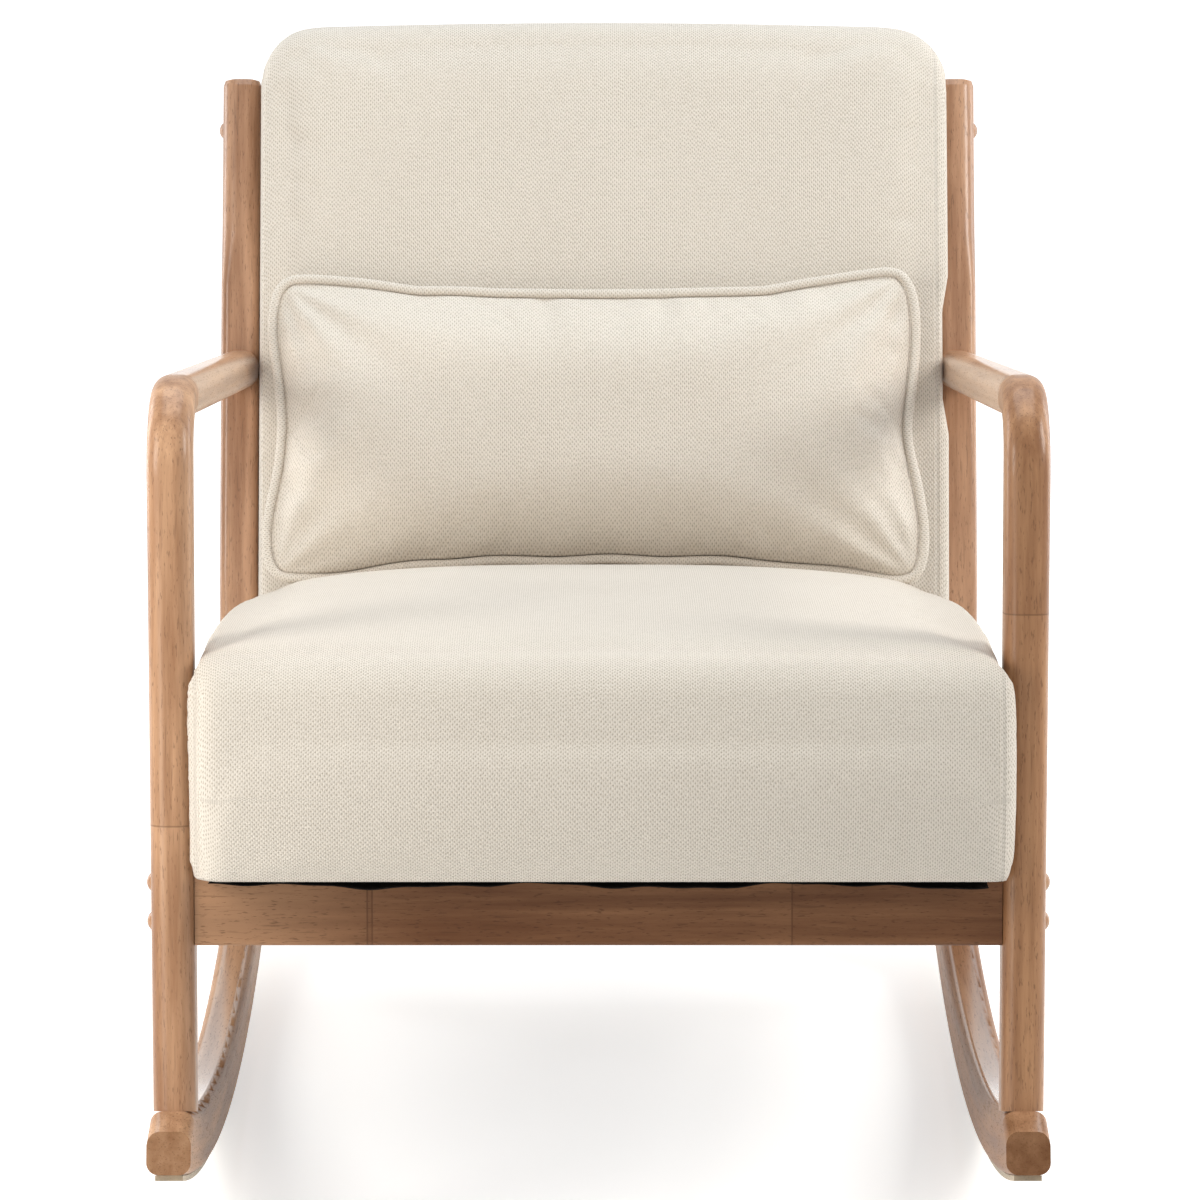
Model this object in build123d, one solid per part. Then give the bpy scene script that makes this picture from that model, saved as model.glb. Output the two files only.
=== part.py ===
from build123d import *
import math
import os

# An upholstered rocking chair with a wooden frame and a loose lumbar pillow, in millimetres.
# Every piece is drawn on the square chair: front legs upright, arms level, X across, Y from the
# front legs to the back, Z up from the lowest point of the wooden rockers. The whole chair is then
# leaned back to its rest pose, with the origin on the floor between the two rockers' contacts.

# Rest pose
rest_recline = 11.1

# Widths across the chair
overall_width = 650.0
leg_width = 33.0
foot_taper = 2.0
post_width = 33.0
rocker_width = 32.0
strip_width = 20.0

# Rockers
rocker_radius = 1300.0
rocker_centre_y = 222.0
rocker_depth = 46.0
nose_reach = 54.0
nose_depth = 31.0
tail_reach = 225.0
tail_depth = 33.0
tail_taper_length = 70.0
strip_thickness = 4.0
strip_setback = 6.0
rocker_edge = 9.0

# Front legs and arms
leg_depth = 40.0
arm_top = 600.0
arm_height = 32.0
knee_radius = 70.0
knee_inner_radius = 24.0
knee_reach = 54.0
leg_edge = 13.0

# Rear posts
post_y = 650.0
post_depth = 40.0
post_lean = 9.0
post_bend_height = 400.0
post_bend_radius = 260.0
post_round_start = 655.0
post_round_length = 45.0
post_top = 832.0
post_top_depth = 34.0
post_edge = 7.0
post_top_edge = 13.0
post_end_round = 6.0

# Rails
rail_thickness = 22.0
rail_height = 62.0
rail_bottom = 189.0
rail_setback = 9.0
rear_rail_y = 500.0
rail_edge = 3.0
tenon_thickness = 12.0
tenon_height = 42.0
tenon_length = 14.0

# Wooden dowels
dowel_radius = 4.0
dowel_length = 44.0
dowel_end_play = 0.5
dowel_clearance = 0.1
foot_dowel_spacing = 18.0
arm_dowel_spacing = 15.0

# Connector bolts, their nuts and wooden caps
bolt_radius = 3.0
bolt_hole_radius = 3.25
bolt_end_play = 3.0
bolt_head_radius = 5.5
bolt_head_height = 4.0
bolt_socket_radius = 2.6
bolt_socket_depth = 2.5
bolt_socket_sides = 6
bolt_grip = 38.0
counterbore_radius = 6.0
counterbore_depth = 11.0
barrel_nut_radius = 5.0
barrel_nut_length = 16.0
barrel_nut_inset = 28.0
insert_nut_radius = 5.0
insert_nut_length = 16.0
cap_radius = 7.0
cap_stem_radius = 5.9
cap_stem_length = 5.0
cap_rise = 3.6
rail_bolt_spacing = 28.5
back_bolt_low = 359.0
back_bolt_high = 789.0

# Cushion covers and their wooden frames
cover_thickness = 2.0
hem_width = 28.0
board_thickness = 20.0
board_width = 58.0
board_clearance = 0.5
webbing_width = 50.0
webbing_thickness = 1.5

# Seat unit
seat_side_clearance = 3.0
wing_overlap = 6.0
wing_clearance = 2.0
seat_front_y = -52.0
seat_rear_y = 545.0
seat_lip_drop = 15.0
seat_front_height = 398.0
seat_crown_height = 424.0
seat_rear_height = 416.0
seat_side_round = 22.0
seat_nose_tuck = 12.0
seat_nose_round = 36.0
lip_clearance = 2.0
dust_cover_thickness = 1.0
dust_cover_margin = 9.0
seat_strap_count = 5

# Back unit, measured forward of the posts' centre line and along it from the bend
back_clearance = 0.4
back_bottom = -82.0
back_top = 478.0
back_rear = -13.0
back_front = 82.0
back_crown = 14.0
back_top_crown = 6.0
back_corner_round = 48.0
back_foot_round = 28.0
back_edge_round = 24.0
back_strap_count = 6
back_panel_thickness = 1.2
back_panel_margin = 8.0

# Lumbar pillow
pillow_half_width = 262.0
pillow_half_height = 127.0
pillow_side_draw = 11.0
pillow_long_draw = 15.0
pillow_corner = 18.0
pillow_front_swell = 62.0
pillow_rear_swell = 40.0
pillow_lean = 14.0
pillow_back_gap = 2.55
pillow_seat_gap = 0.5
pillow_settle_count = 8
pillow_steps = ((0.0, 0.0), (0.07, 0.26), (0.24, 0.6), (0.5, 0.87), (0.82, 1.0))
piping_radius = 4.4
piping_gap = 0.3

# Steel angle brackets under the seat, with their screws
bracket_leg = 32.0
bracket_width = 20.0
bracket_thickness = 2.0
bracket_x = 190.0
screw_radius = 2.0
screw_length = 14.0
screw_head_radius = 4.0
screw_head_height = 1.6
screw_clearance = 0.1

# Places that follow from the sizes
half_width = overall_width / 2
leg_inner_x = half_width - leg_width
leg_mid_x = half_width - leg_width / 2
post_inner_x = half_width - post_width
post_mid_x = half_width - post_width / 2
arm_bottom = arm_top - arm_height
arm_mid_z = arm_top - arm_height / 2
rail_top = rail_bottom + rail_height
rail_mid_z = rail_bottom + rail_height / 2
front_rail_y = rail_setback + rail_thickness / 2 - leg_depth / 2
side_rail_inner_x = leg_mid_x - rail_thickness / 2
side_rail_outer_x = leg_mid_x + rail_thickness / 2
rocker_top_radius = rocker_radius - rocker_depth
lean = math.radians(post_lean)
arc_bow = 1 - math.sqrt(0.5)
lip_rear_y = front_rail_y - rail_thickness / 2 - lip_clearance
lip_bottom = rail_top - seat_lip_drop
cover_bottom = rail_top + dust_cover_thickness
boards_bottom = cover_bottom + cover_thickness
boards_top = boards_bottom + board_thickness
seat_foam_bottom = boards_top + 2 * webbing_thickness
seat_half_width = leg_inner_x - seat_side_clearance
seat_wing_half_width = leg_inner_x + wing_overlap
seat_board_x = seat_half_width - cover_thickness - board_clearance
seat_board_rear = seat_rear_y - cover_thickness - board_clearance
back_half_width = post_inner_x - back_clearance
back_board_x = back_half_width - cover_thickness - board_clearance
back_frame_rear = back_rear + cover_thickness
back_frame_front = back_frame_rear + board_thickness
back_frame_mid = back_frame_rear + board_thickness / 2
back_frame_low = back_bottom + cover_thickness + back_foot_round
back_frame_high = back_top - cover_thickness - back_top_crown - back_corner_round


# Helpers for the side view


def arc_point(radius, y):
    """The point at depth y on a circle about the rocker centre, below that centre."""
    return (y, rocker_radius - math.sqrt(radius**2 - (y - rocker_centre_y) ** 2))


def towards_centre(point, distance):
    """A point of the side view moved straight towards the rocker centre."""
    across = rocker_centre_y - point[0]
    up = rocker_radius - point[1]
    share = distance / math.hypot(across, up)
    return (point[0] + across * share, point[1] + up * share)


def lean_point(forward, along):
    """A side-view point in front of the posts' centre line and along it from the bend."""
    y = post_y + along * math.sin(lean) - forward * math.cos(lean)
    z = post_bend_height + along * math.cos(lean) + forward * math.sin(lean)
    return (y, z)


def along_post(z):
    """Distance from the bend at which the leaning centre line reaches a height."""
    return (z - post_bend_height) / math.cos(lean)


def post_front_y(z):
    """Depth of the front face of the leaning post at a height."""
    return lean_point(post_depth / 2, along_post(z) - post_depth / 2 * math.tan(lean))[0]


def closed_lines(points):
    return [Line(start, end) for start, end in zip(points, points[1:] + points[:1])]


def side_slab(edges, x_low, x_high):
    """A side-view outline made solid between two places across the chair."""
    return extrude(Plane.YZ.offset(x_low) * make_face(edges), x_high - x_low)


def lean_block(x_range, forward_range, along_range):
    """A block set square to the leaning posts."""
    corners = [
        lean_point(forward_range[0], along_range[0]),
        lean_point(forward_range[0], along_range[1]),
        lean_point(forward_range[1], along_range[1]),
        lean_point(forward_range[1], along_range[0]),
    ]
    return side_slab(closed_lines(corners), *x_range)


def block(x_range, y_range, z_range):
    ranges = (x_range, y_range, z_range)
    middle = [(low + high) / 2 for low, high in ranges]
    return Pos(*middle) * Box(*[high - low for low, high in ranges])


def rod(start, direction, length, radius):
    """A cylinder from a start point along a direction."""
    return Plane(origin=start, z_dir=direction) * extrude(Circle(radius), length)


def mirrored(solid):
    return mirror(solid, about=Plane.YZ)


def both_sides(solids):
    return [copy for solid in solids for copy in (solid, mirrored(solid))]


def cut(solid, tools):
    for tool in tools:
        solid = solid - tool
    return solid


def spread(count, low, high):
    """Middles of evenly spaced strips that fill a stretch."""
    return [low + (high - low) * (index + 0.5) / count for index in range(count)]


def side_edges(solid, x_low, x_high):
    """Edges that run along the two side faces of a slab."""
    quarter = (x_high - x_low) / 4
    return [e for e in solid.edges() if not x_low + quarter < e.center().X < x_high - quarter]


def rocker_disc():
    """A disc about the rocker centre that trims whatever stands on a rocker."""
    disc = Cylinder(rocker_top_radius, 2 * overall_width, rotation=(0, 90, 0))
    return Pos(0, rocker_centre_y, rocker_radius) * disc


# Pieces of the right-hand side frame


def make_rocker():
    nose_low = arc_point(rocker_radius, -nose_reach)
    nose_high = towards_centre(nose_low, nose_depth)
    nose_root = arc_point(rocker_top_radius, -leg_depth / 2)
    tail_y = post_y + tail_reach
    tail_low = arc_point(rocker_radius, tail_y)
    tail_high = towards_centre(tail_low, tail_depth)
    tail_root = arc_point(rocker_top_radius, tail_y - tail_taper_length)
    edges = [
        ThreePointArc(nose_low, arc_point(rocker_radius, rocker_centre_y), tail_low),
        Line(tail_low, tail_high),
        Line(tail_high, tail_root),
        ThreePointArc(tail_root, arc_point(rocker_top_radius, rocker_centre_y), nose_root),
        Line(nose_root, nose_high),
        Line(nose_high, nose_low),
    ]
    x_range = (leg_mid_x - rocker_width / 2, leg_mid_x + rocker_width / 2)
    rocker = side_slab(edges, *x_range)
    ends = rocker.faces().sort_by(Axis.Y)
    end_edges = ends[0].edges() + ends[-1].edges()
    long_edges = [e for e in side_edges(rocker, *x_range) if e not in end_edges]
    return fillet(long_edges, rocker_edge)


def make_strip():
    """Floor strip along the underside of a rocker."""
    front = arc_point(rocker_radius, strip_setback - nose_reach)
    rear = arc_point(rocker_radius, post_y + tail_reach - strip_setback)
    front_low = towards_centre(front, -strip_thickness)
    rear_low = towards_centre(rear, -strip_thickness)
    edges = [
        ThreePointArc(front, (rocker_centre_y, 0), rear),
        Line(rear, rear_low),
        ThreePointArc(rear_low, (rocker_centre_y, -strip_thickness), front_low),
        Line(front_low, front),
    ]
    return side_slab(edges, leg_mid_x - strip_width / 2, leg_mid_x + strip_width / 2)


def make_front_leg():
    """Leg whose knee bends back into the line of the arm."""
    front = -leg_depth / 2
    rear = leg_depth / 2
    knee_start = (front, arm_top - knee_radius)
    knee_mid = (front + knee_radius * arc_bow, arm_top - knee_radius * arc_bow)
    knee_end = (front + knee_radius, arm_top)
    crook_start = (rear + knee_inner_radius, arm_bottom)
    crook_mid = (rear + knee_inner_radius * arc_bow, arm_bottom - knee_inner_radius * arc_bow)
    crook_end = (rear, arm_bottom - knee_inner_radius)
    edges = [
        Line((front, 0), knee_start),
        ThreePointArc(knee_start, knee_mid, knee_end),
        Line(knee_end, (knee_reach, arm_top)),
        Line((knee_reach, arm_top), (knee_reach, arm_bottom)),
        Line((knee_reach, arm_bottom), crook_start),
        ThreePointArc(crook_start, crook_mid, crook_end),
        Line(crook_end, (rear, 0)),
        Line((rear, 0), (front, 0)),
    ]
    front_view = [
        (leg_inner_x, 0),
        (half_width - foot_taper, 0),
        (half_width, arm_top),
        (leg_inner_x, arm_top),
    ]
    taper = extrude(Plane.XZ * make_face(closed_lines(front_view)), overall_width, both=True)
    leg = side_slab(edges, leg_inner_x, half_width) & taper
    end_edges = leg.faces().sort_by(Axis.Z)[0].edges() + leg.faces().sort_by(Axis.Y)[-1].edges()
    long_edges = [e for e in side_edges(leg, leg_inner_x, half_width) if e not in end_edges]
    return fillet(long_edges, leg_edge) & rocker_disc()


def make_armrest():
    corners = [
        (knee_reach, arm_bottom),
        (knee_reach, arm_top),
        (post_front_y(arm_top), arm_top),
        (post_front_y(arm_bottom), arm_bottom),
    ]
    arm = side_slab(closed_lines(corners), leg_inner_x, half_width)
    return fillet(arm.edges().filter_by(Axis.Y), leg_edge)


def post_section(along, depth, width, corner):
    """A rounded section square to the leaning post."""
    up = (0, math.sin(lean), math.cos(lean))
    plane = Plane(origin=(post_mid_x, *lean_point(0, along)), x_dir=(1, 0, 0), z_dir=up)
    return plane * RectangleRounded(width, depth, corner)


def make_rear_post():
    """Post bent at the seat, square where the arm meets it and round above."""
    half = post_depth / 2
    round_start = along_post(post_round_start)
    bend = half * math.tan(lean / 2)
    corners = [
        (post_y - half, 0),
        lean_point(half, -bend),
        lean_point(half, round_start),
        lean_point(-half, round_start),
        lean_point(-half, bend),
        (post_y + half, 0),
    ]
    outline = make_face(closed_lines(corners))
    bends = [v for v in outline.vertices() if abs(v.Y - post_bend_height) < half]
    outline = fillet(bends, post_bend_radius)
    lower = extrude(Plane.YZ.offset(post_inner_x) * outline, post_width)
    end_edges = lower.faces().sort_by(Axis.Z)[0].edges() + lower.faces().sort_by(Axis.Z)[-1].edges()
    long_edges = [e for e in side_edges(lower, post_inner_x, half_width) if e not in end_edges]
    lower = fillet(long_edges, post_edge)
    top = along_post(post_top)
    half_end = post_end_round / 2
    quarter_end = half_end / 2
    sections = [
        post_section(round_start, post_depth, post_width, post_edge),
        post_section(round_start + post_round_length, post_depth, post_width, post_top_edge),
        post_section(top - post_end_round, post_top_depth, post_width, post_top_edge),
        post_section(
            top - quarter_end,
            post_top_depth - half_end,
            post_width - half_end,
            post_top_edge - quarter_end,
        ),
        post_section(
            top,
            post_top_depth - 2 * post_end_round,
            post_width - 2 * post_end_round,
            post_top_edge - post_end_round,
        ),
    ]
    return (lower + loft(sections, ruled=True)) & rocker_disc()


def make_side_rail():
    """Rail from front leg to post, with a tenon at each end."""
    y_range = (leg_depth / 2, post_y - post_depth / 2)
    x_range = (side_rail_inner_x, side_rail_outer_x)
    rail = block(x_range, y_range, (rail_bottom, rail_top))
    rail = fillet(rail.edges().filter_by(Axis.Y), rail_edge)
    tenon = block(
        (leg_mid_x - tenon_thickness / 2, leg_mid_x + tenon_thickness / 2),
        (y_range[0] - tenon_length, y_range[1] + tenon_length),
        (rail_mid_z - tenon_height / 2, rail_mid_z + tenon_height / 2),
    )
    return rail + tenon


def make_cross_rail(y, half_length):
    rail = Pos(0, y, rail_mid_z) * Box(2 * half_length, rail_thickness, rail_height)
    return fillet(rail.edges().filter_by(Axis.X), rail_edge)


# Dowels, bolts, nuts, caps, brackets and screws


def dowel_pair(middle, direction, spacing):
    """Two dowels across a joint, and the holes that take them."""
    direction = Vector(*direction)
    dowels = []
    holes = []
    for side in (-1, 1):
        start = Vector(*middle) + Vector(*spacing) * (side / 2) - direction * (dowel_length / 2)
        dowels.append(rod(start, direction, dowel_length, dowel_radius))
        hole_length = dowel_length + 2 * dowel_end_play
        hole_start = start - direction * dowel_end_play
        holes.append(rod(hole_start, direction, hole_length, dowel_radius + dowel_clearance))
    return dowels, holes


def make_bolt(mouth, wall, grip):
    """A connector bolt sunk in the outer face of a wall and reaching past it by its grip."""
    head = extrude(Circle(bolt_head_radius), bolt_head_height)
    socket = extrude(RegularPolygon(bolt_socket_radius, bolt_socket_sides), bolt_socket_depth)
    length = bolt_head_height + wall - counterbore_depth + grip
    shank = extrude(Circle(bolt_radius), length - bolt_socket_depth)
    bolt = head - socket + Pos(0, 0, bolt_socket_depth) * shank
    inwards = Plane(origin=mouth, x_dir=(0, 1, 0), z_dir=(-1, 0, 0))
    return inwards * Pos(0, 0, counterbore_depth - bolt_head_height) * bolt


def make_bolt_hole(mouth, wall, grip):
    inwards = Plane(origin=mouth, x_dir=(0, 1, 0), z_dir=(-1, 0, 0))
    hole = extrude(Circle(bolt_hole_radius), wall + grip + bolt_end_play)
    return inwards * (hole + extrude(Circle(counterbore_radius), counterbore_depth))


def make_cap(mouth):
    """A domed wooden button that closes the counterbore of a bolt."""
    dome_radius = (cap_radius**2 + cap_rise**2) / (2 * cap_rise)
    dome_mid = (cap_radius / 2, math.sqrt(dome_radius**2 - cap_radius**2 / 4) - dome_radius + cap_rise)
    edges = [
        Line((0, -cap_stem_length), (cap_stem_radius, -cap_stem_length)),
        Line((cap_stem_radius, -cap_stem_length), (cap_stem_radius, 0)),
        Line((cap_stem_radius, 0), (cap_radius, 0)),
        ThreePointArc((cap_radius, 0), dome_mid, (0, cap_rise)),
        Line((0, cap_rise), (0, -cap_stem_length)),
    ]
    cap = revolve(Plane.XZ * make_face(edges), Axis.Z)
    return Plane(origin=mouth, z_dir=(1, 0, 0)) * cap


def make_barrel_nut(x, y, z):
    nut = rod((x, y - barrel_nut_length / 2, z), (0, 1, 0), barrel_nut_length, barrel_nut_radius)
    return nut - rod((x + barrel_nut_radius, y, z), (-1, 0, 0), 2 * barrel_nut_radius, bolt_radius)


def make_barrel_hole(x, y, z):
    """Hole for a barrel nut, open at the rear face of its rail."""
    start = y - barrel_nut_length / 2
    return rod((x, start, z), (0, 1, 0), barrel_nut_length / 2 + rail_thickness, barrel_nut_radius)


def make_bracket(rail_face_y, facing):
    """Angle bracket in the corner between a rail and the seat boards."""
    far = rail_face_y + facing * bracket_leg
    near = rail_face_y + facing * bracket_thickness
    corners = [
        (rail_face_y, rail_top),
        (far, rail_top),
        (far, rail_top - bracket_thickness),
        (near, rail_top - bracket_thickness),
        (near, rail_top - bracket_leg),
        (rail_face_y, rail_top - bracket_leg),
    ]
    return side_slab(closed_lines(corners), bracket_x - bracket_width / 2, bracket_x + bracket_width / 2)


def make_screw(seat, direction):
    """A pan-head screw whose head rests on a bracket."""
    head = extrude(Circle(screw_head_radius), -screw_head_height)
    return Plane(origin=seat, z_dir=direction) * (head + extrude(Circle(screw_radius), screw_length))


def make_screw_hole(seat, direction):
    return rod(seat, direction, screw_length + screw_clearance, screw_radius + screw_clearance)


# Cushions


def seat_shell(skin):
    """Outer form of the seat cushion, or the space inside its cover for a skin above zero."""
    half = seat_wing_half_width - skin
    front = seat_front_y + skin
    face = front + seat_nose_tuck
    rear = seat_rear_y - skin
    low = lip_bottom + skin
    base = cover_bottom + skin
    lip_rear = lip_rear_y - skin
    brow = (face, seat_front_height - skin)
    bulge = (front, (low + brow[1]) / 2)
    crown = ((face + rear) / 2, seat_crown_height - skin)
    top_rear = (rear, seat_rear_height - skin)
    edges = [
        ThreePointArc((face, low), bulge, brow),
        ThreePointArc(brow, crown, top_rear),
        Line(top_rear, (rear, base)),
        Line((rear, base), (lip_rear, base)),
        Line((lip_rear, base), (lip_rear, low)),
        Line((lip_rear, low), (face, low)),
    ]
    outline = make_face(edges)
    brow_vertex = min(outline.vertices(), key=lambda v: math.dist((v.X, v.Y), brow))
    outline = fillet(brow_vertex, seat_nose_round - skin)
    body = extrude(Plane.YZ.offset(-half) * outline, 2 * half)
    side_arcs = [e for e in body.edges() if e.geom_type == GeomType.CIRCLE]
    body = fillet(side_arcs, seat_side_round - skin)
    notch = block(
        (seat_half_width - skin, half_width),
        (-leg_depth / 2 - wing_clearance - skin, post_y),
        (rail_bottom, arm_top),
    )
    return cut(body, both_sides([notch]))


def back_plane(forward):
    """Plane square to the posts' lean, seen from the front of the chair."""
    origin = (0, *lean_point(forward, 0))
    return Plane(origin=origin, x_dir=(1, 0, 0), z_dir=(0, -math.cos(lean), math.sin(lean)))


def back_shell(skin):
    """Outer form of the back cushion, or the space inside its cover for a skin above zero."""
    half = back_half_width - skin
    low = back_bottom + skin
    high = back_top - skin
    shoulder = high - back_top_crown
    edges = [
        Line((-half, low), (half, low)),
        Line((half, low), (half, shoulder)),
        ThreePointArc((half, shoulder), (0, high), (-half, shoulder)),
        Line((-half, shoulder), (-half, low)),
    ]
    outline = make_face(edges)
    corners = outline.vertices().sort_by(Axis.Y)
    outline = fillet(corners[2:], back_corner_round - skin)
    feet = outline.vertices().sort_by(Axis.Y)[:2]
    outline = fillet(feet, back_foot_round - skin)
    rear = back_rear + skin
    depth = back_front + back_crown - back_rear
    body = extrude(back_plane(rear) * outline, depth)
    beyond_low = back_bottom - back_edge_round
    beyond_high = back_top + back_edge_round
    front_low = lean_point(back_front - skin, beyond_low)
    front_high = lean_point(back_front - skin, beyond_high)
    crown = lean_point(back_front + back_crown - skin, (beyond_low + beyond_high) / 2)
    rear_high = lean_point(2 * back_rear, beyond_high)
    rear_low = lean_point(2 * back_rear, beyond_low)
    swell = [
        ThreePointArc(front_low, crown, front_high),
        Line(front_high, rear_high),
        Line(rear_high, rear_low),
        Line(rear_low, front_low),
    ]
    body = body & side_slab(swell, -half_width, half_width)
    curved = [f for f in body.faces() if f.geom_type == GeomType.CYLINDER]
    front_face = max(curved, key=lambda f: f.area)
    return fillet(front_face.edges(), back_edge_round - skin)


def make_seat_cover():
    opening = block(
        (hem_width - seat_half_width, seat_half_width - hem_width),
        (lip_rear_y + hem_width, seat_rear_y - hem_width),
        (rail_top, boards_top),
    )
    return seat_shell(0) - seat_shell(cover_thickness) - opening


def make_seat_foam():
    base = block(
        (-half_width, half_width),
        (lip_rear_y - board_clearance, post_y),
        (rail_bottom, seat_foam_bottom),
    )
    return seat_shell(cover_thickness) - base


def make_seat_boards():
    z_range = (boards_bottom, boards_top)
    x_range = (-seat_board_x, seat_board_x)
    front_inner = lip_rear_y + board_width
    rear_inner = seat_board_rear - board_width
    side = block((seat_board_x - board_width, seat_board_x), (front_inner, rear_inner), z_range)
    return {
        "seat_board_front": block(x_range, (lip_rear_y, front_inner), z_range),
        "seat_board_rear": block(x_range, (rear_inner, seat_board_rear), z_range),
        "seat_board_right": side,
        "seat_board_left": mirrored(side),
    }


def make_seat_webbing():
    half = webbing_width / 2
    inner_x = seat_board_x - board_width
    long_z = (boards_top, boards_top + webbing_thickness)
    cross_z = (long_z[1], long_z[1] + webbing_thickness)
    y_range = (lip_rear_y, seat_board_rear)
    front_inner = lip_rear_y + board_width
    rear_inner = seat_board_rear - board_width
    long_straps = [
        block((x - half, x + half), y_range, long_z) for x in spread(seat_strap_count, -inner_x, inner_x)
    ]
    cross_straps = [
        block((-seat_board_x, seat_board_x), (y - half, y + half), cross_z)
        for y in spread(seat_strap_count, front_inner, rear_inner)
    ]
    return long_straps, cross_straps


def make_dust_cover():
    """Thin black sheet under the seat, folded down behind the front lip and under it."""
    front = seat_front_y + seat_nose_tuck + dust_cover_margin
    low = lip_bottom - dust_cover_thickness
    fold = lip_rear_y + dust_cover_thickness
    corners = [
        (front, lip_bottom),
        (lip_rear_y, lip_bottom),
        (lip_rear_y, cover_bottom),
        (seat_rear_y, cover_bottom),
        (seat_rear_y, rail_top),
        (fold, rail_top),
        (fold, low),
        (front, low),
    ]
    half = seat_half_width - dust_cover_margin
    return side_slab(closed_lines(corners), -half, half)


def make_back_cover():
    opening = lean_block(
        (hem_width - back_half_width, back_half_width - hem_width),
        (back_rear - cover_thickness, back_frame_front),
        (back_bottom + hem_width, back_frame_high),
    )
    return back_shell(0) - back_shell(cover_thickness) - opening


def make_back_foam():
    frame_space = lean_block(
        (-half_width, half_width),
        (back_rear - cover_thickness, back_frame_front + webbing_thickness),
        (2 * back_bottom, 2 * back_top),
    )
    return back_shell(cover_thickness) - frame_space


def make_back_boards():
    forward = (back_frame_rear, back_frame_front)
    inner_x = back_board_x - board_width
    stile = lean_block((inner_x, back_board_x), forward, (back_frame_low, back_frame_high))
    span = (-inner_x, inner_x)
    return {
        "back_stile_right": stile,
        "back_stile_left": mirrored(stile),
        "back_board_bottom": lean_block(span, forward, (back_frame_low, back_frame_low + board_width)),
        "back_board_top": lean_block(span, forward, (back_frame_high - board_width, back_frame_high)),
    }


def make_back_webbing():
    half = webbing_width / 2
    low = back_frame_low + board_width
    high = back_frame_high - board_width
    forward = (back_frame_front, back_frame_front + webbing_thickness)
    places = spread(back_strap_count, low, high)
    return [lean_block((-back_board_x, back_board_x), forward, (w - half, w + half)) for w in places]


def make_back_panel():
    """Flat fabric panel that closes the rear of the back cushion."""
    half = back_half_width - back_panel_margin
    forward = (back_rear - back_panel_thickness, back_rear)
    return lean_block((-half, half), forward, (back_bottom + back_panel_margin, back_frame_high))


def seat_top_z(y):
    """Height of the seat's crowned top, on the circle through its front, crown and rear."""
    brow_y = seat_front_y + seat_nose_tuck
    crown_y = (brow_y + seat_rear_y) / 2
    share = (y - crown_y) / (seat_rear_y - crown_y)
    rise = (seat_front_height + seat_rear_height) / 2 - seat_crown_height
    tilt = (seat_rear_height - seat_front_height) / 2
    return seat_crown_height + tilt * share + rise * share**2


def pillow_corner_lift():
    """How far a round corner lifts the seam's lowest point above the square corner."""
    long_slope = 2 * math.atan(pillow_long_draw / pillow_half_width)
    side_slope = 2 * math.atan(pillow_side_draw / pillow_half_height)
    half_opening = (math.pi / 2 - long_slope - side_slope) / 2
    return pillow_corner * (math.sin(long_slope + half_opening) / math.sin(half_opening) - 1)


def pillow_plane():
    """Seam plane of the pillow, which stands on the seat and leans on the back."""
    tilt = math.radians(pillow_lean)
    foot = pillow_half_height - pillow_corner_lift() + piping_gap + piping_radius
    forward = back_front + back_crown + pillow_rear_swell + pillow_back_gap
    z = seat_crown_height
    for _ in range(pillow_settle_count):
        along = (z - post_bend_height - forward * math.sin(lean)) / math.cos(lean)
        y = lean_point(forward, along)[0]
        ground = seat_top_z(y - foot * math.sin(tilt))
        z = ground + foot * math.cos(tilt) + piping_radius + pillow_seat_gap
    return Plane(
        origin=(0, y, z),
        x_dir=(1, 0, 0),
        z_dir=(0, -math.cos(tilt), math.sin(tilt)),
    )


def pillow_outline(grow, draw_share):
    """Front view of the pillow: round corners and sides drawn in between them."""
    half_w = pillow_half_width + grow
    half_h = pillow_half_height + grow
    side = half_w - pillow_side_draw * draw_share
    long = half_h - pillow_long_draw * draw_share
    edges = [
        ThreePointArc((-half_w, -half_h), (0, -long), (half_w, -half_h)),
        ThreePointArc((half_w, -half_h), (side, 0), (half_w, half_h)),
        ThreePointArc((half_w, half_h), (0, long), (-half_w, half_h)),
        ThreePointArc((-half_w, half_h), (-side, 0), (-half_w, -half_h)),
    ]
    face = make_face(edges)
    return fillet(face.vertices(), pillow_corner)


def pillow_half(skin, swell):
    """One face of the pillow, from its seam to its crown."""
    sections = []
    for inwards, rise in pillow_steps:
        grow = -inwards * pillow_half_height - skin
        height = rise * (abs(swell) - skin) * math.copysign(1, swell)
        sections.append(pillow_plane().offset(height) * pillow_outline(grow, 1 - inwards))
    return loft(sections)


def pillow_shell(skin):
    return pillow_half(skin, pillow_front_swell) + pillow_half(skin, -pillow_rear_swell)


def make_piping():
    """Fabric cord sewn round the seam of the pillow."""
    seam = offset(pillow_outline(0, 1), piping_radius + piping_gap)
    path = (pillow_plane() * seam).face().outer_wire()
    section = Plane(origin=path @ 0, z_dir=path % 0) * Circle(piping_radius)
    return sweep(section, path)


# Joining the pieces


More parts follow.
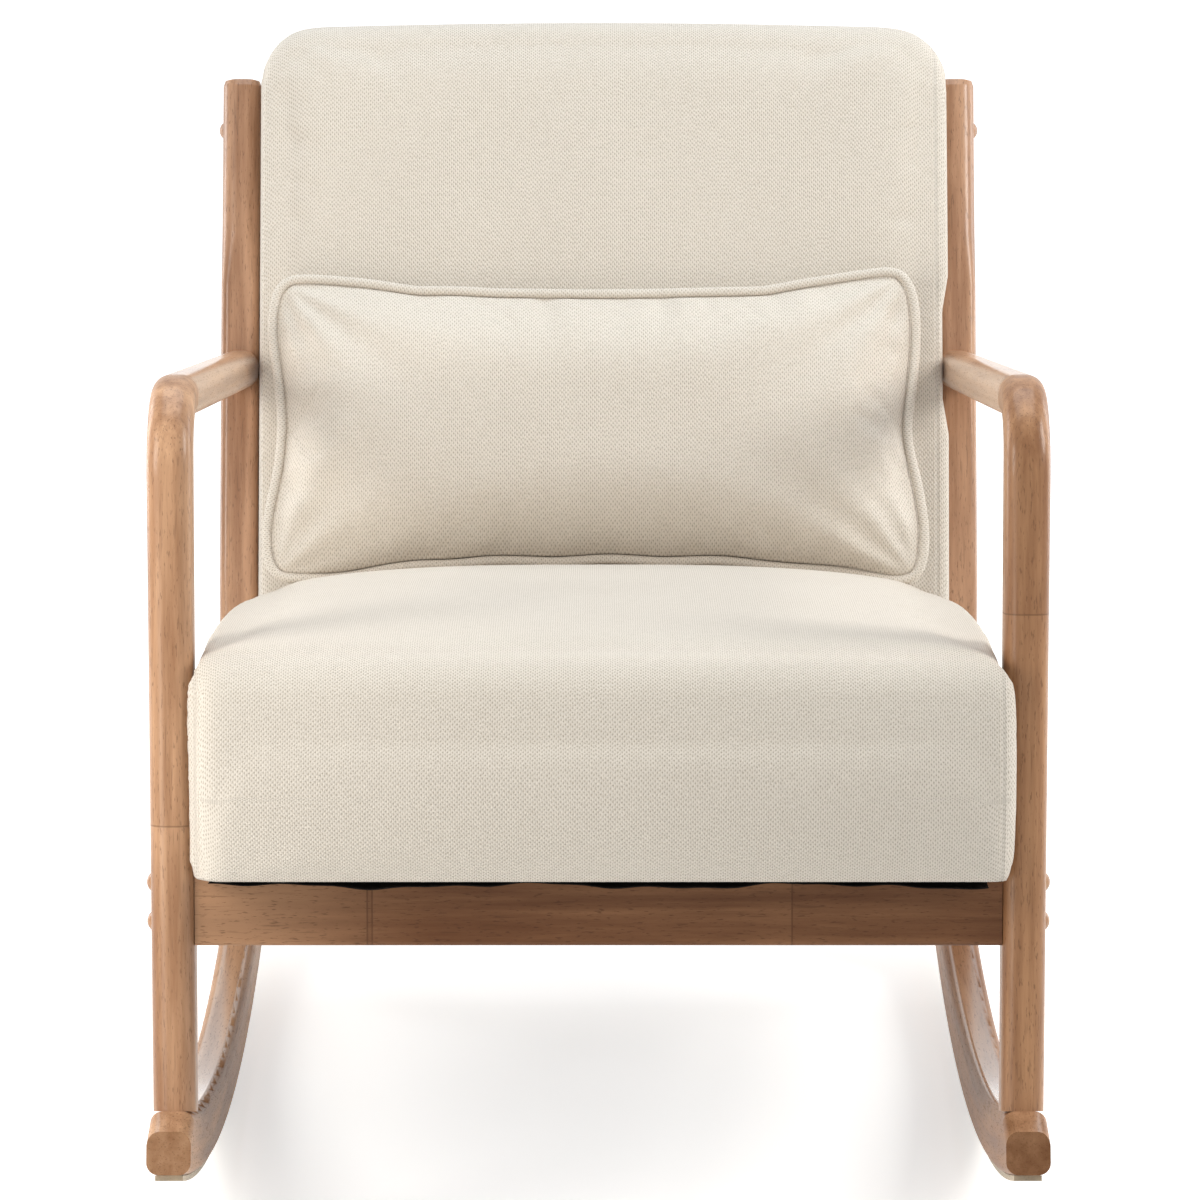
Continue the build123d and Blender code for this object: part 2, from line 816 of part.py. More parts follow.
def build_chair():
    rocker = make_rocker()
    leg = make_front_leg()
    arm = make_armrest()
    post = make_rear_post()
    side_rail = make_side_rail()
    front_rail = make_cross_rail(front_rail_y, leg_inner_x)
    rear_rail = make_cross_rail(rear_rail_y, side_rail_inner_x)
    seat_boards = make_seat_boards()
    back_boards = make_back_boards()
    seat_cover = make_seat_cover()
    dust_cover = make_dust_cover()
    back_cover = make_back_cover()

    leg_foot = (leg_mid_x, *arc_point(rocker_top_radius, 0))
    post_foot = (leg_mid_x, *arc_point(rocker_top_radius, post_y))
    leg_dowels, leg_holes = dowel_pair(leg_foot, (0, 0, 1), (0, foot_dowel_spacing, 0))
    post_dowels, post_holes = dowel_pair(post_foot, (0, 0, 1), (0, foot_dowel_spacing, 0))
    knee = (leg_mid_x, knee_reach, arm_mid_z)
    arm_end = (leg_mid_x, post_front_y(arm_mid_z), arm_mid_z)
    knee_dowels, knee_holes = dowel_pair(knee, (0, 1, 0), (arm_dowel_spacing, 0, 0))
    end_dowels, end_holes = dowel_pair(arm_end, (0, 1, 0), (arm_dowel_spacing, 0, 0))
    rocker = cut(rocker, leg_holes + post_holes)
    leg = cut(leg, leg_holes + knee_holes + [side_rail])
    arm = cut(arm, knee_holes + end_holes)
    post = cut(post, post_holes + end_holes + [side_rail])

    front_bolts, front_nuts, front_caps = [], [], []
    rear_bolts, rear_nuts, rear_caps = [], [], []
    for side in (-1, 1):
        z = rail_mid_z + side * rail_bolt_spacing / 2
        mouth = (half_width - foot_taper * (1 - z / arm_top), front_rail_y, z)
        wall = mouth[0] - leg_inner_x
        nut_place = (leg_inner_x - barrel_nut_inset, front_rail_y, z)
        hole = make_bolt_hole(mouth, wall, bolt_grip)
        front_bolts.append(make_bolt(mouth, wall, bolt_grip))
        front_nuts.append(make_barrel_nut(*nut_place))
        front_caps.append(make_cap(mouth))
        leg = leg - hole
        front_rail = cut(front_rail, both_sides([hole, make_barrel_hole(*nut_place)]))

        mouth = (side_rail_outer_x, rear_rail_y, z)
        nut_place = (side_rail_inner_x - barrel_nut_inset, rear_rail_y, z)
        hole = make_bolt_hole(mouth, rail_thickness, bolt_grip)
        rear_bolts.append(make_bolt(mouth, rail_thickness, bolt_grip))
        rear_nuts.append(make_barrel_nut(*nut_place))
        rear_caps.append(make_cap(mouth))
        side_rail = side_rail - hole
        rear_rail = cut(rear_rail, both_sides([hole, make_barrel_hole(*nut_place)]))

    back_bolts, back_nuts, back_caps = [], [], []
    back_wall = half_width - back_board_x
    for height in (back_bolt_low, back_bolt_high):
        y, z = lean_point(back_frame_mid, along_post(height))
        mouth = (half_width, y, z)
        hole = make_bolt_hole(mouth, back_wall, insert_nut_length)
        nut_bore = rod((back_board_x, y, z), (-1, 0, 0), insert_nut_length, insert_nut_radius)
        back_bolts.append(make_bolt(mouth, back_wall, insert_nut_length))
        back_nuts.append(nut_bore - rod((back_board_x, y, z), (-1, 0, 0), insert_nut_length, bolt_radius))
        back_caps.append(make_cap(mouth))
        post = post - hole
        back_cover = cut(back_cover, both_sides([hole]))
        back_boards["back_stile_right"] = cut(back_boards["back_stile_right"], [hole, nut_bore])
    back_boards["back_stile_left"] = mirrored(back_boards["back_stile_right"])

    rails = {"front": front_rail, "rear": rear_rail}
    brackets, screws = [], []
    for rail_name, face_y, facing in (
        ("front", front_rail_y + rail_thickness / 2, 1),
        ("rear", rear_rail_y - rail_thickness / 2, -1),
    ):
        bracket = make_bracket(face_y, facing)
        board_name = "seat_board_" + rail_name
        middle = (bracket_leg + bracket_thickness) / 2
        up_seat = (bracket_x, face_y + facing * middle, rail_top - bracket_thickness)
        rail_seat = (bracket_x, face_y + facing * bracket_thickness, rail_top - middle)
        places = ((up_seat, (0, 0, 1)), (rail_seat, (0, -facing, 0)))
        holes = [make_screw_hole(*place) for place in places]
        screws.extend(make_screw(*place) for place in places)
        brackets.append(cut(bracket, holes))
        up_hole, rail_hole = both_sides(holes[:1]), both_sides(holes[1:])
        seat_boards[board_name] = cut(seat_boards[board_name], up_hole)
        dust_cover = cut(dust_cover, up_hole)
        seat_cover = cut(seat_cover, up_hole)
        rails[rail_name] = cut(rails[rail_name], rail_hole)

    long_straps, cross_straps = make_seat_webbing()
    nodes = {
        "front_rail": rails["front"],
        "rear_rail": rails["rear"],
        "foot_dowels": both_sides(leg_dowels + post_dowels),
        "arm_dowels": both_sides(knee_dowels + end_dowels),
        "front_rail_bolts": both_sides(front_bolts),
        "front_rail_nuts": both_sides(front_nuts),
        "front_rail_caps": both_sides(front_caps),
        "rear_rail_bolts": both_sides(rear_bolts),
        "rear_rail_nuts": both_sides(rear_nuts),
        "rear_rail_caps": both_sides(rear_caps),
        "back_bolts": both_sides(back_bolts),
        "back_nuts": both_sides(back_nuts),
        "back_caps": both_sides(back_caps),
        "seat_brackets": both_sides(brackets),
        "bracket_screws": both_sides(screws),
        "seat_long_webbing": long_straps,
        "seat_cross_webbing": cross_straps,
        "seat_foam": make_seat_foam(),
        "seat_cover": seat_cover,
        "seat_dust_cover": dust_cover,
        "back_webbing": make_back_webbing(),
        "back_foam": make_back_foam(),
        "back_cover": back_cover,
        "back_panel": make_back_panel(),
        "pillow_cover": pillow_shell(0) - pillow_shell(cover_thickness),
        "pillow_filling": pillow_shell(cover_thickness),
        "pillow_piping": make_piping(),
    }
    side_frame = {
        "front_leg": leg,
        "armrest": arm,
        "rear_post": post,
        "rocker": rocker,
        "rocker_strip": make_strip(),
        "side_rail": side_rail,
    }
    for name, solid in side_frame.items():
        nodes[name + "_right"] = solid
        nodes[name + "_left"] = mirrored(solid)
    nodes.update(seat_boards)
    nodes.update(back_boards)
    return nodes


def at_rest(shape):
    """The square chair leaned back on its rockers, with its contact line at the origin."""
    to_centre = Pos(0, -rocker_centre_y, -rocker_radius)
    return Pos(0, 0, rocker_radius + strip_thickness) * Rot(-rest_recline, 0, 0) * to_centre * shape


os.makedirs("parts", exist_ok=True)
for node_name, piece in build_chair().items():
    placed = [at_rest(solid) for solid in (piece if isinstance(piece, list) else [piece])]
    whole = placed[0] if len(placed) == 1 else Compound(placed)
    export_step(whole, f"parts/{node_name}.step")
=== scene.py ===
import math
from functools import partial

import bmesh
import bpy
import numpy as np
from mathutils import Matrix, Vector
from mathutils.bvhtree import BVHTree


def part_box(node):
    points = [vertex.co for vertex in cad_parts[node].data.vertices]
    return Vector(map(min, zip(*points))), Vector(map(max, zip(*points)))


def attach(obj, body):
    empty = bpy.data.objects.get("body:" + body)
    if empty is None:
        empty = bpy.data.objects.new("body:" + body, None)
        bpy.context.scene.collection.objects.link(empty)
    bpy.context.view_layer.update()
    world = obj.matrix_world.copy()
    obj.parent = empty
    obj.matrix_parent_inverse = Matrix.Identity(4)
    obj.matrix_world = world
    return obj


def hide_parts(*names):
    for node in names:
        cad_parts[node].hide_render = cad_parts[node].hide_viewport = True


bl_info = {
    "name": "Upholstered rocking chair",
    "version": (1, 0, 0),
    "blender": (4, 5, 0),
    "location": "View3D > Sidebar > Chair",
    "description": "Dresses a wooden rocking chair with upholstery, a piped pillow and finishes",
    "category": "Add Mesh",
}

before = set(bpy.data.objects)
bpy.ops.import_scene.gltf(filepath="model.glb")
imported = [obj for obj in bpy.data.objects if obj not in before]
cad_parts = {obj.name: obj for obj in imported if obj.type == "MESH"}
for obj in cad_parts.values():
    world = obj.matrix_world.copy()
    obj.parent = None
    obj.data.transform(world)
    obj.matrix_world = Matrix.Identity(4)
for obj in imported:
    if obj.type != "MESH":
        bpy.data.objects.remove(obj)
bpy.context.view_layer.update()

# The chair is measured square, legs upright, then leaned back to its rest pose.
RECLINE = math.radians(11.1)
POST_LEAN = math.radians(9.0)
PILLOW_LEAN = math.radians(14.0)
ROCKER_CENTRE_Y = 0.222
ROCKER_RADIUS = 1.300
STRIP_THICKNESS = 0.004
ROLL_HEIGHT = ROCKER_RADIUS + STRIP_THICKNESS
POST_FOOT = (0.650, 0.400)
REST = (
    Matrix.Translation((0, 0, ROLL_HEIGHT))
    @ Matrix.Rotation(-RECLINE, 4, "X")
    @ Matrix.Translation((0, -ROCKER_CENTRE_Y, -ROCKER_RADIUS))
)
SQUARE_MOVE = (
    0.0,
    ROCKER_CENTRE_Y + ROLL_HEIGHT * math.sin(RECLINE),
    ROCKER_RADIUS - ROLL_HEIGHT * math.cos(RECLINE),
)
BACK_TILT = RECLINE + POST_LEAN
BACK_REARWARDS = Vector((0, math.cos(BACK_TILT), -math.sin(BACK_TILT)))
MERGE_DISTANCE = 0.00002
COVER_LIFT = 0.0021
PUFF_FRAMES = 20
END_FACE_TURN = 0.72
RELIEF_DEPTH = 0.0004

# Wood: stretch along the grain, widths of a joint between staves, the run of painted light on the rail's
# left end and shares of the tone, of which some are painted shade.
GRAIN_STRETCH = 0.06
PORE_STRETCH = 0.16
STAVE_STEP = 0.05
STAVE_EDGE = 0.0004
JOINT_LINE = (0.0002, 0.0010)
# Painted light on the rail's left end, fading out over this run.
PAINTED_LIGHT_RUN = (-0.32, -0.12)
# Painted shade: the right leg's wood is a darker copy of the left leg's.
LEG_RIGHT_SHADE_SHARE = (0.80, 0.72, 0.62)
POST_SHARE = (0.86, 0.84, 0.86)
# The rail's share: a darker stain, with painted shade from under the seat.
RAIL_STAIN_AND_SHADE_SHARE = (0.40, 0.32, 0.26)
# Painted shade: the right rocker's wood is a darker copy of the left rocker's.
ROCKER_RIGHT_SHADE_SHARE = (0.74, 0.67, 0.61)

# Cloth: share of its tone in the shade, and widths of a seam's groove, which is bumped in and darkened with
# painted shade.
CLOTH_SHADE = (0.60, 0.57, 0.52)
SEAM_GROOVE_AND_SHADE = (0.0006, 0.0022)

# Seat, on the square chair: base block, crown of the top and wings beside the legs.
# Here and below, a pair that a ramp takes is its start and its run.
SEAT_BASE = ((-0.287, -0.0135, 0.2540), (0.287, 0.5425, 0.2800))
SEAT_HELD_BELOW = 0.262
SEAT_HALF = 0.2900
SEAT_UNDERSIDE = 0.2522
SEAT_SIDE_FOLD = 0.30
SEAT_PUFF = 0.006
LIP_UNDERSIDE = 0.2395
LIP_REAR = -0.0125
LIP_FACE = -0.0132
CROWN_ALONG = (0.05, 0.35)
CROWN_UPWARDS = (0.33, 0.07)
CROWN_RISE = 0.003
CROWN_FALL = 0.022
WING_FORWARDS = (0.0215, 0.01)
WING_NARROWER = 0.006
WING_MOVE_LEFT = 0.006
WING_MOVE_RIGHT = 0.004

# Back, across, forward of the posts' line and along it.
BACK_THICKER = 0.0215
BACK_HALF = 0.2912
BACK_REAR = -0.0130
BACK_PUFF = 0.008
PROUD = (0.0225, 0.02)
OVER_ARM = (0.225, 0.03)
UNDER_ARM = (-0.15, 0.03)
SPREAD_RIGHT = 0.0050
SPREAD_LEFT = -0.0045
SPREAD_ACROSS = (0.20, 0.09)
EDGE_WIDTH = 0.024
EDGE_POWER = 2.2
BELOW_CORNER = (-0.445, 0.03)
TOP_DROP = 0.002
NEAR_TOP = (0.36, 0.08)
PANEL_HALF = 0.2836
PANEL_LOW = -0.074
PANEL_HIGH = 0.422
PANEL_NEAR = -0.0131
PANEL_FAR = -0.0142
PANEL_COLUMNS = 61
PANEL_ROWS = 55
PANEL_TURN = 0.985
HEM_PLACE = 0.955
HEM_WIDTH = 0.012
HEM_HEIGHT = 0.0006

# Pillow, across, up and out of its own plane, from the middle of its seam.
PILLOW_HALF_WIDTH = 0.262
PILLOW_HALF_HEIGHT = 0.125
PILLOW_LOWER = 0.010
PILLOW_COLUMNS = 112
PILLOW_ROWS = 58
PILLOW_FRONT = 0.060
PILLOW_REAR = 0.038
PILLOW_LENS = 0.016
PILLOW_CREEP = 0.4
SHEET_WIDER = 1.04
SHEET_TALLER = 1.07
CORNER_CUT = 0.22
CORNER_REACH = 1.6
LEFT_WIDTH = (1.026, 0.015)
RIGHT_WIDTH = (1.018, 0.007)
PILLOW_SLIDE = 0.002
EAR_RISE = 0.008
TOP_SAG = 0.008
FOOT_WAVE = 0.0018
FOOT_ARCH = 0.010
FOOT_CORNER_DROP = 0.004
RIM_SMOOTHINGS = 14
RIM_PULL_REACH = 4
GATHER_STEP = 0.0045
GATHER_WIDTH = 0.016
GATHER_WAVES = ((190, 0.0), (131, 1.1), (77, 2.3))
GATHER_DEPTH = 0.0008
GATHER_TOP_DEPTH = 0.0019
GATHER_TOP_WIDTH = 0.08
FOLD_CORNERS = ((-1, 1, 15, 0.4), (1, 1, 13, 2.0), (-1, -1, 11, 1.2), (1, -1, 14, 3.0))
FOLD_REACH = 0.038
FOLD_DEPTH = 0.0034
PIPING_SIDES = 12
PIPING_SEAT = 0.9

# Dust cover, from the front lip to the rear rail: y, z and share of the hang.
DUST_PATH = (
    (-0.037, 0.2391, 1.0), (-0.030, 0.2388, 1.0), (-0.022, 0.2388, 0.6), (-0.0135, 0.2390, 0.2),
    (-0.0125, 0.2410, 0.0), (-0.0125, 0.2513, 0.0), (0.010, 0.2513, 0.0), (0.060, 0.2513, 0.0),
    (0.200, 0.2508, 0.0), (0.350, 0.2508, 0.0), (0.480, 0.2513, 0.0), (0.540, 0.2513, 0.0),
)
DUST_HALF = 0.280
DUST_COLUMNS = 141
DUST_WAVES = ((0.28, 31, 0.0), (0.16, 74, 1.3), (0.10, 143, 0.0))
DUST_HANG = 0.0054

# Stitches beside the seams, by length and thickness, and staples under the seat, by pitch too.
SEAM_INSET = 0.003
SEAT_SEAM_HEIGHTS = (0.262, 0.372, 40)
BACK_SEAM_HEIGHTS = (0.02, 0.42, 90)
RAY_START = -0.3
BACK_RAY_START = 0.4
STITCH_LIFT = 0.0001
STITCH_SIZES = (0.0032, 0.0006)
STAPLE_LINES = (
    ((-0.272, 0.05), (-0.272, 0.46)), ((0.272, 0.05), (0.272, 0.46)), ((-0.26, 0.530), (0.26, 0.530)),
)
STAPLE_HEIGHT = 0.2504
STAPLE_SIZES = (0.045, 0.011, 0.0009)

# Stage, with the camera placed from the square chair.
FLOOR_CORNERS = ((-9, -9, 0), (9, -9, 0), (9, 9, 0), (-9, 9, 0))
FLOOR_GLOW = (0.2, 5.0)
WORLD_STRENGTH = 0.36
CAMERA_PLACE = (0, -3.355, 0.715)
CAMERA_DIP = 4.70


def to_square(points):
    """Points of the rest pose, as they are on the square chair."""
    matrix = np.array(REST.inverted())
    return points @ matrix[:3, :3].T + matrix[:3, 3]


def to_rest(points):
    """Points of the square chair, as they are in the rest pose."""
    matrix = np.array(REST)
    return np.asarray(points, float) @ matrix[:3, :3].T + matrix[:3, 3]


def to_lean(square):
    """Square points as across, forward of the posts' line and along it."""
    y = square[:, 1] - POST_FOOT[0]
    z = square[:, 2] - POST_FOOT[1]
    forward = z * math.sin(POST_LEAN) - y * math.cos(POST_LEAN)
    along = y * math.sin(POST_LEAN) + z * math.cos(POST_LEAN)
    return np.stack([square[:, 0], forward, along], 1)


def from_lean(lean):
    forward = lean[:, 1]
    along = lean[:, 2]
    y = POST_FOOT[0] + along * math.sin(POST_LEAN) - forward * math.cos(POST_LEAN)
    z = POST_FOOT[1] + along * math.cos(POST_LEAN) + forward * math.sin(POST_LEAN)
    return np.stack([lean[:, 0], y, z], 1)


def ramp(values, start, run):
    """0 up to the start, 1 from a run past it and straight between."""
    return np.clip((values - start) / run, 0, 1)


class Socket:
    """A number in a shader, on which Python's operators build Math nodes."""

    def __init__(self, paint, link):
        self.paint = paint
        self.link = link

    def math(self, operation, *others):
        return self.paint.math(operation, self, *others)

    def __add__(self, other):
        return self.math("ADD", other)

    def __sub__(self, other):
        return self.math("SUBTRACT", other)

    def __rsub__(self, other):
        return self.paint.math("SUBTRACT", other, self)

    def __mul__(self, other):
        return self.math("MULTIPLY", other)

    def __truediv__(self, other):
        return self.math("DIVIDE", other)

    def __abs__(self):
        return self.math("ABSOLUTE")

    __radd__ = __add__
    __rmul__ = __mul__

    def step(self, low, high):
        """0 below low, 1 above high and smooth between."""
        settings = {"interpolation_type": "SMOOTHSTEP"}
        sockets = {"Value": self, "From Min": low, "From Max": high}
        return self.paint.value("ShaderNodeMapRange", settings, sockets, "Result")


class Paint:
    """One node material under construction."""

    def __init__(self, name):
        self.material = bpy.data.materials.new(name)
        self.material.use_nodes = True
        self.tree = self.material.node_tree
        self.shader = self.tree.nodes["Principled BSDF"]

    def plug(self, target, source):
        if isinstance(source, Socket):
            source = source.link
        if isinstance(source, bpy.types.NodeSocket):
            self.tree.links.new(source, target)
        elif target.type == "RGBA":
            target.default_value = (*source, 1.0)
        else:
            target.default_value = source

    def node(self, kind, settings, sockets):
        node = self.tree.nodes.new(kind)
        for key, setting in settings.items():
            setattr(node, key, setting)
        for key, source in sockets.items():
            self.plug(node.inputs[key], source)
        return node

    def value(self, kind, settings, sockets, output=0):
        return Socket(self, self.node(kind, settings, sockets).outputs[output])

    def math(self, operation, *terms):
        return self.value("ShaderNodeMath", {"operation": operation}, dict(enumerate(terms)))

    def mix(self, factor, first, second):
        settings = {"data_type": "RGBA"}
        return self.node("ShaderNodeMix", settings, {0: factor, 6: first, 7: second}).outputs[2]

    def noise(self, vector, scale, detail=3.0, roughness=0.55):
        sockets = {"Vector": vector, "Scale": scale, "Detail": detail, "Roughness": roughness}
        return self.value("ShaderNodeTexNoise", {}, sockets, 0)

    def mapped(self, vector, turn=0.0, scale=(1, 1, 1), move=(0, 0, 0)):
        sockets = {"Vector": vector, "Rotation": (turn, 0, 0), "Scale": scale, "Location": move}
        return self.node("ShaderNodeMapping", {}, sockets).outputs[0]

    def split(self, vector):
        outputs = self.node("ShaderNodeSeparateXYZ", {}, {0: vector}).outputs
        return [Socket(self, output) for output in outputs]

    def join(self, x, y, z):
        return self.node("ShaderNodeCombineXYZ", {}, {0: x, 1: y, 2: z}).outputs[0]

    def place(self, output="Object"):
        return self.node("ShaderNodeTexCoord", {}, {}).outputs[output]

    def bump(self, height, strength, distance):
        sockets = {"Height": height, "Strength": strength, "Distance": distance}
        normal = self.node("ShaderNodeBump", {}, sockets).outputs[0]
        self.plug(self.shader.inputs["Normal"], normal)

    def finish(self, **sockets):
        for key, source in sockets.items():
            self.plug(self.shader.inputs[key.replace("_", " ")], source)
        return self.material


def shaded(colour, share):
    return [channel * share for channel in colour]


def wood(name, tone, dark, grain, lean=0.0, bowed=False, seed=0.0, joints=(), gloss=0.35, pale=None):
    """Satin hardwood with streaks and short dark pores along the grain axis.

    The joints are places along the grain where two staves of the wood meet.
    A pale colour, where given, lightens the rail's left end towards it, as painted light from the left.
    """
    paint = Paint(name)
    place = paint.place()
    if bowed:
        x, y, z = paint.split(place)
        drop = ROLL_HEIGHT - z
        angle = paint.math("ARCTAN2", y, drop)
        reach = paint.math("SQRT", y * y + drop * drop)
        square = paint.join(x, angle * ROCKER_RADIUS, reach)
    else:
        square = paint.mapped(place, turn=RECLINE, move=SQUARE_MOVE)
    grown = paint.mapped(square, turn=lean, move=(seed, seed * 0.7, seed * 1.3))
    slow = [GRAIN_STRETCH if axis == grain else 1.0 for axis in "XYZ"]
    quick = [PORE_STRETCH if axis == grain else 1.0 for axis in "XYZ"]
    streak = paint.noise(paint.mapped(grown, scale=slow), scale=95.0, detail=5.0, roughness=0.62)
    band = paint.noise(paint.mapped(grown, scale=slow), scale=26.0, detail=2.0)
    cloud = paint.noise(grown, scale=7.0, detail=2.0)
    pore = paint.noise(paint.mapped(grown, scale=quick), scale=850.0, detail=2.0).step(0.58, 0.70)
    long_pore = paint.noise(paint.mapped(grown, scale=slow), scale=520.0, detail=1.0).step(0.62, 0.74)
    figure = streak * 0.6 + band * 0.34 + cloud * 0.2
    seam = None
    along = paint.split(square)["XYZ".index(grain)]
    for number, joint in enumerate(joints):
        change = STAVE_STEP if number % 2 else -STAVE_STEP
        figure = figure + (along - joint).step(-STAVE_EDGE, STAVE_EDGE) * change
        line = 1.0 - abs(along - joint).step(*JOINT_LINE)
        seam = line if seam is None else seam.math("MAXIMUM", line)
    colour = paint.mix(figure.step(0.34, 0.80), dark, tone)
    if pale is not None:
        # Painted light: the rail's left end is lightened, standing in for light falling from the left.
        painted_light_share = (1.0 - along.step(*PAINTED_LIGHT_RUN)) * 0.42
        colour = paint.mix(painted_light_share, colour, pale)
    pits = pore.math("MAXIMUM", long_pore * 0.6)
    if seam is not None:
        pits = pits.math("MAXIMUM", seam)
    colour = paint.mix(pits * 0.5, colour, shaded(dark, 0.4))
    coat = gloss
    if bowed:
        facing = paint.node("ShaderNodeNewGeometry", {}, {}).outputs["Normal"]
        _, forwards, upwards = paint.split(facing)
        end_grain = abs(forwards).step(0.7, 0.95)
        colour = paint.mix(end_grain * 0.55, colour, shaded(dark, 0.55))
        coat = upwards.step(0.86, 0.98) * gloss
    paint.bump(streak * 0.35 - pits * 0.8, 0.2, RELIEF_DEPTH)
    roughness = 0.27 + streak * 0.2 + pits * 0.15
    return paint.finish(
        Base_Color=colour, Roughness=roughness, Coat_Weight=coat, Coat_Roughness=0.16,
        Coat_IOR=1.9 if bowed else 1.5, Specular_IOR_Level=0.1 if bowed else 0.15 + gloss * 0.5)


def woven(name, tone, across, along, seam=None):
    """Basket-woven linen-look cloth on the piece's own UV map, in metres."""
    paint = Paint(name)
    place = paint.place("UV")
    u, v, _ = paint.split(place)
    slub = paint.noise(paint.mapped(place, scale=(0.3, 1.0, 1.0)), scale=330.0, detail=2.0)
    drift = paint.noise(place, scale=160.0, detail=1.0)
    stagger = paint.noise(paint.mapped(place, scale=(1.0, 0.05, 1.0)), scale=420.0, detail=1.0)
    a = u / across + drift * 0.8
    b = v / along + slub * 0.6 + stagger * 1.2
    standing = (a * math.pi).math("SINE")
    lying = (b * math.pi).math("SINE")
    over = standing * lying
    dash = abs(standing).math("POWER", 0.6) * abs(lying).math("POWER", 1.5)
    uneven = paint.noise(place, scale=480.0, detail=1.0).step(0.36, 0.64)
    dot = (-1.0 * over).step(0.0, 0.1) * dash.step(0.35, 0.95) * (0.3 + uneven * 0.7)
    fleck = paint.noise(place, scale=700.0, detail=1.0).step(0.58, 0.72)
    cloud = paint.noise(place, scale=6.0, detail=3.0)
    rib = (a * (2 * math.pi)).math("COSINE")
    thread = over * 0.2 + rib * 0.2 - dot * 0.6 - fleck * 0.2
    light = 0.64 + thread + (cloud - 0.5) * 0.25 + (slub - 0.5) * 0.35
    shade = [channel * share for channel, share in zip(tone, CLOTH_SHADE)]
    colour = paint.mix(light.step(-0.2, 1.0), shade, tone)
    height = over - dot * 0.4 + slub * 0.5
    if seam:
        x, _, _ = paint.split(paint.place())
        # The seam is a groove in the bump, darkened in colour with painted shade.
        line = 1.0 - abs(abs(x) - seam).step(*SEAM_GROOVE_AND_SHADE)
        colour = paint.mix(line * 0.2, colour, shaded(tone, 0.55))
        height = height - line * 3.0
    paint.bump(height, 0.5, RELIEF_DEPTH)
    return paint.finish(
        Base_Color=colour, Roughness=0.9, Specular_IOR_Level=0.15, Sheen_Weight=0.1, Sheen_Roughness=0.5
    )


def plain_cloth(name, tone, cell):
    """Dark spunbond or webbing cloth with a fine dotted bond."""
    paint = Paint(name)
    place = paint.place()
    x, y, z = paint.split(place)
    dots = abs((x * (math.pi / cell)).math("SINE")) * abs(((y - z) * (math.pi / cell)).math("SINE"))
    cloud = paint.noise(place, scale=30.0, detail=3.0)
    colour = paint.mix(dots * 0.5 + cloud * 0.3, shaded(tone, 0.6), tone)
    paint.bump(dots, 0.3, 0.0003)
    return paint.finish(Base_Color=colour, Roughness=0.95, Specular_IOR_Level=0.1)


def steel(name):
    """Zinc-plated steel with faint drawing marks."""
    paint = Paint(name)
    streak = paint.noise(paint.mapped(paint.place(), scale=(1, 1, 12)), scale=260.0, detail=2.0)
    colour = paint.mix(streak, (0.48, 0.48, 0.46), (0.66, 0.66, 0.64))
    return paint.finish(Base_Color=colour, Roughness=0.25 + streak * 0.2, Metallic=1.0)


def give(mesh, material):
    """The mesh's only material."""
    mesh.materials.clear()
    mesh.materials.append(material)


def new_piece(name, mesh, material):
    piece = bpy.data.objects.new(name, mesh)
    bpy.context.scene.collection.objects.link(piece)
    give(mesh, material)
    return piece


def vectors(items, key):
    """One vector from each of a mesh's items."""
    values = np.zeros(len(items) * 3)
    items.foreach_get(key, values)
    return values.reshape(-1, 3)


def points_of(mesh):
    return vectors(mesh.vertices, "co")


def normals_of(mesh):
    return vectors(mesh.vertex_normals, "vector")


def set_points(mesh, points):
    mesh.vertices.foreach_set("co", np.asarray(points, np.float32).ravel())
    mesh.update()


def evaluated(piece):
    return piece.evaluated_get(bpy.context.evaluated_depsgraph_get())


def bake(piece):
    """The piece's evaluated mesh becomes its own mesh, with no modifier left."""
    mesh = bpy.data.meshes.new_from_object(evaluated(piece))
    piece.modifiers.clear()
    old = piece.data
    piece.data = mesh
    bpy.data.meshes.remove(old)
    return mesh


def smooth(mesh):
    mesh.polygons.foreach_set("use_smooth", [True] * len(mesh.polygons))
    mesh.update()


def subdivide(piece):
    finer = piece.modifiers.new("Finer", "SUBSURF")
    finer.levels = 1
    finer.render_levels = 1
    return bake(piece)


def mend(mesh, merge=False):
    """Faces turned outwards, with doubled points merged first where asked."""
    fix = bmesh.new()
    fix.from_mesh(mesh)
    if merge:
        bmesh.ops.remove_doubles(fix, verts=fix.verts, dist=MERGE_DISTANCE)
    bmesh.ops.recalc_face_normals(fix, faces=fix.faces)
    fix.to_mesh(mesh)
    fix.free()


def solid_copy(node, moves):
    """Merged copies of a CAD node's mesh, each moved by a vector, in one mesh."""
    built = bmesh.new()
    for move in moves:
        part = bmesh.new()
        part.from_mesh(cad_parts[node].data)
        bmesh.ops.remove_doubles(part, verts=part.verts, dist=MERGE_DISTANCE)
        bmesh.ops.translate(part, verts=part.verts, vec=move)
        scrap = bpy.data.meshes.new("scrap")
        part.to_mesh(scrap)
        part.free()
        built.from_mesh(scrap)
        bpy.data.meshes.remove(scrap)
    return built


def add_block(built, low, high):
    """A block of the square chair, leaned back with the rest."""
    corners = bmesh.ops.create_cube(built, size=1.0)["verts"]
    for corner in corners:
        share = corner.co + Vector((0.5, 0.5, 0.5))
        square = [a + (b - a) * s for a, b, s in zip(low, high, share)]
        corner.co = REST @ Vector(square)


def grid_faces(rows, columns, first):
    """Quads between the points of a grid, which is numbered row by row from the first."""
    starts = [first + r * columns + c for r in range(rows - 1) for c in range(columns - 1)]
    return [(a, a + 1, a + columns + 1, a + columns) for a in starts]


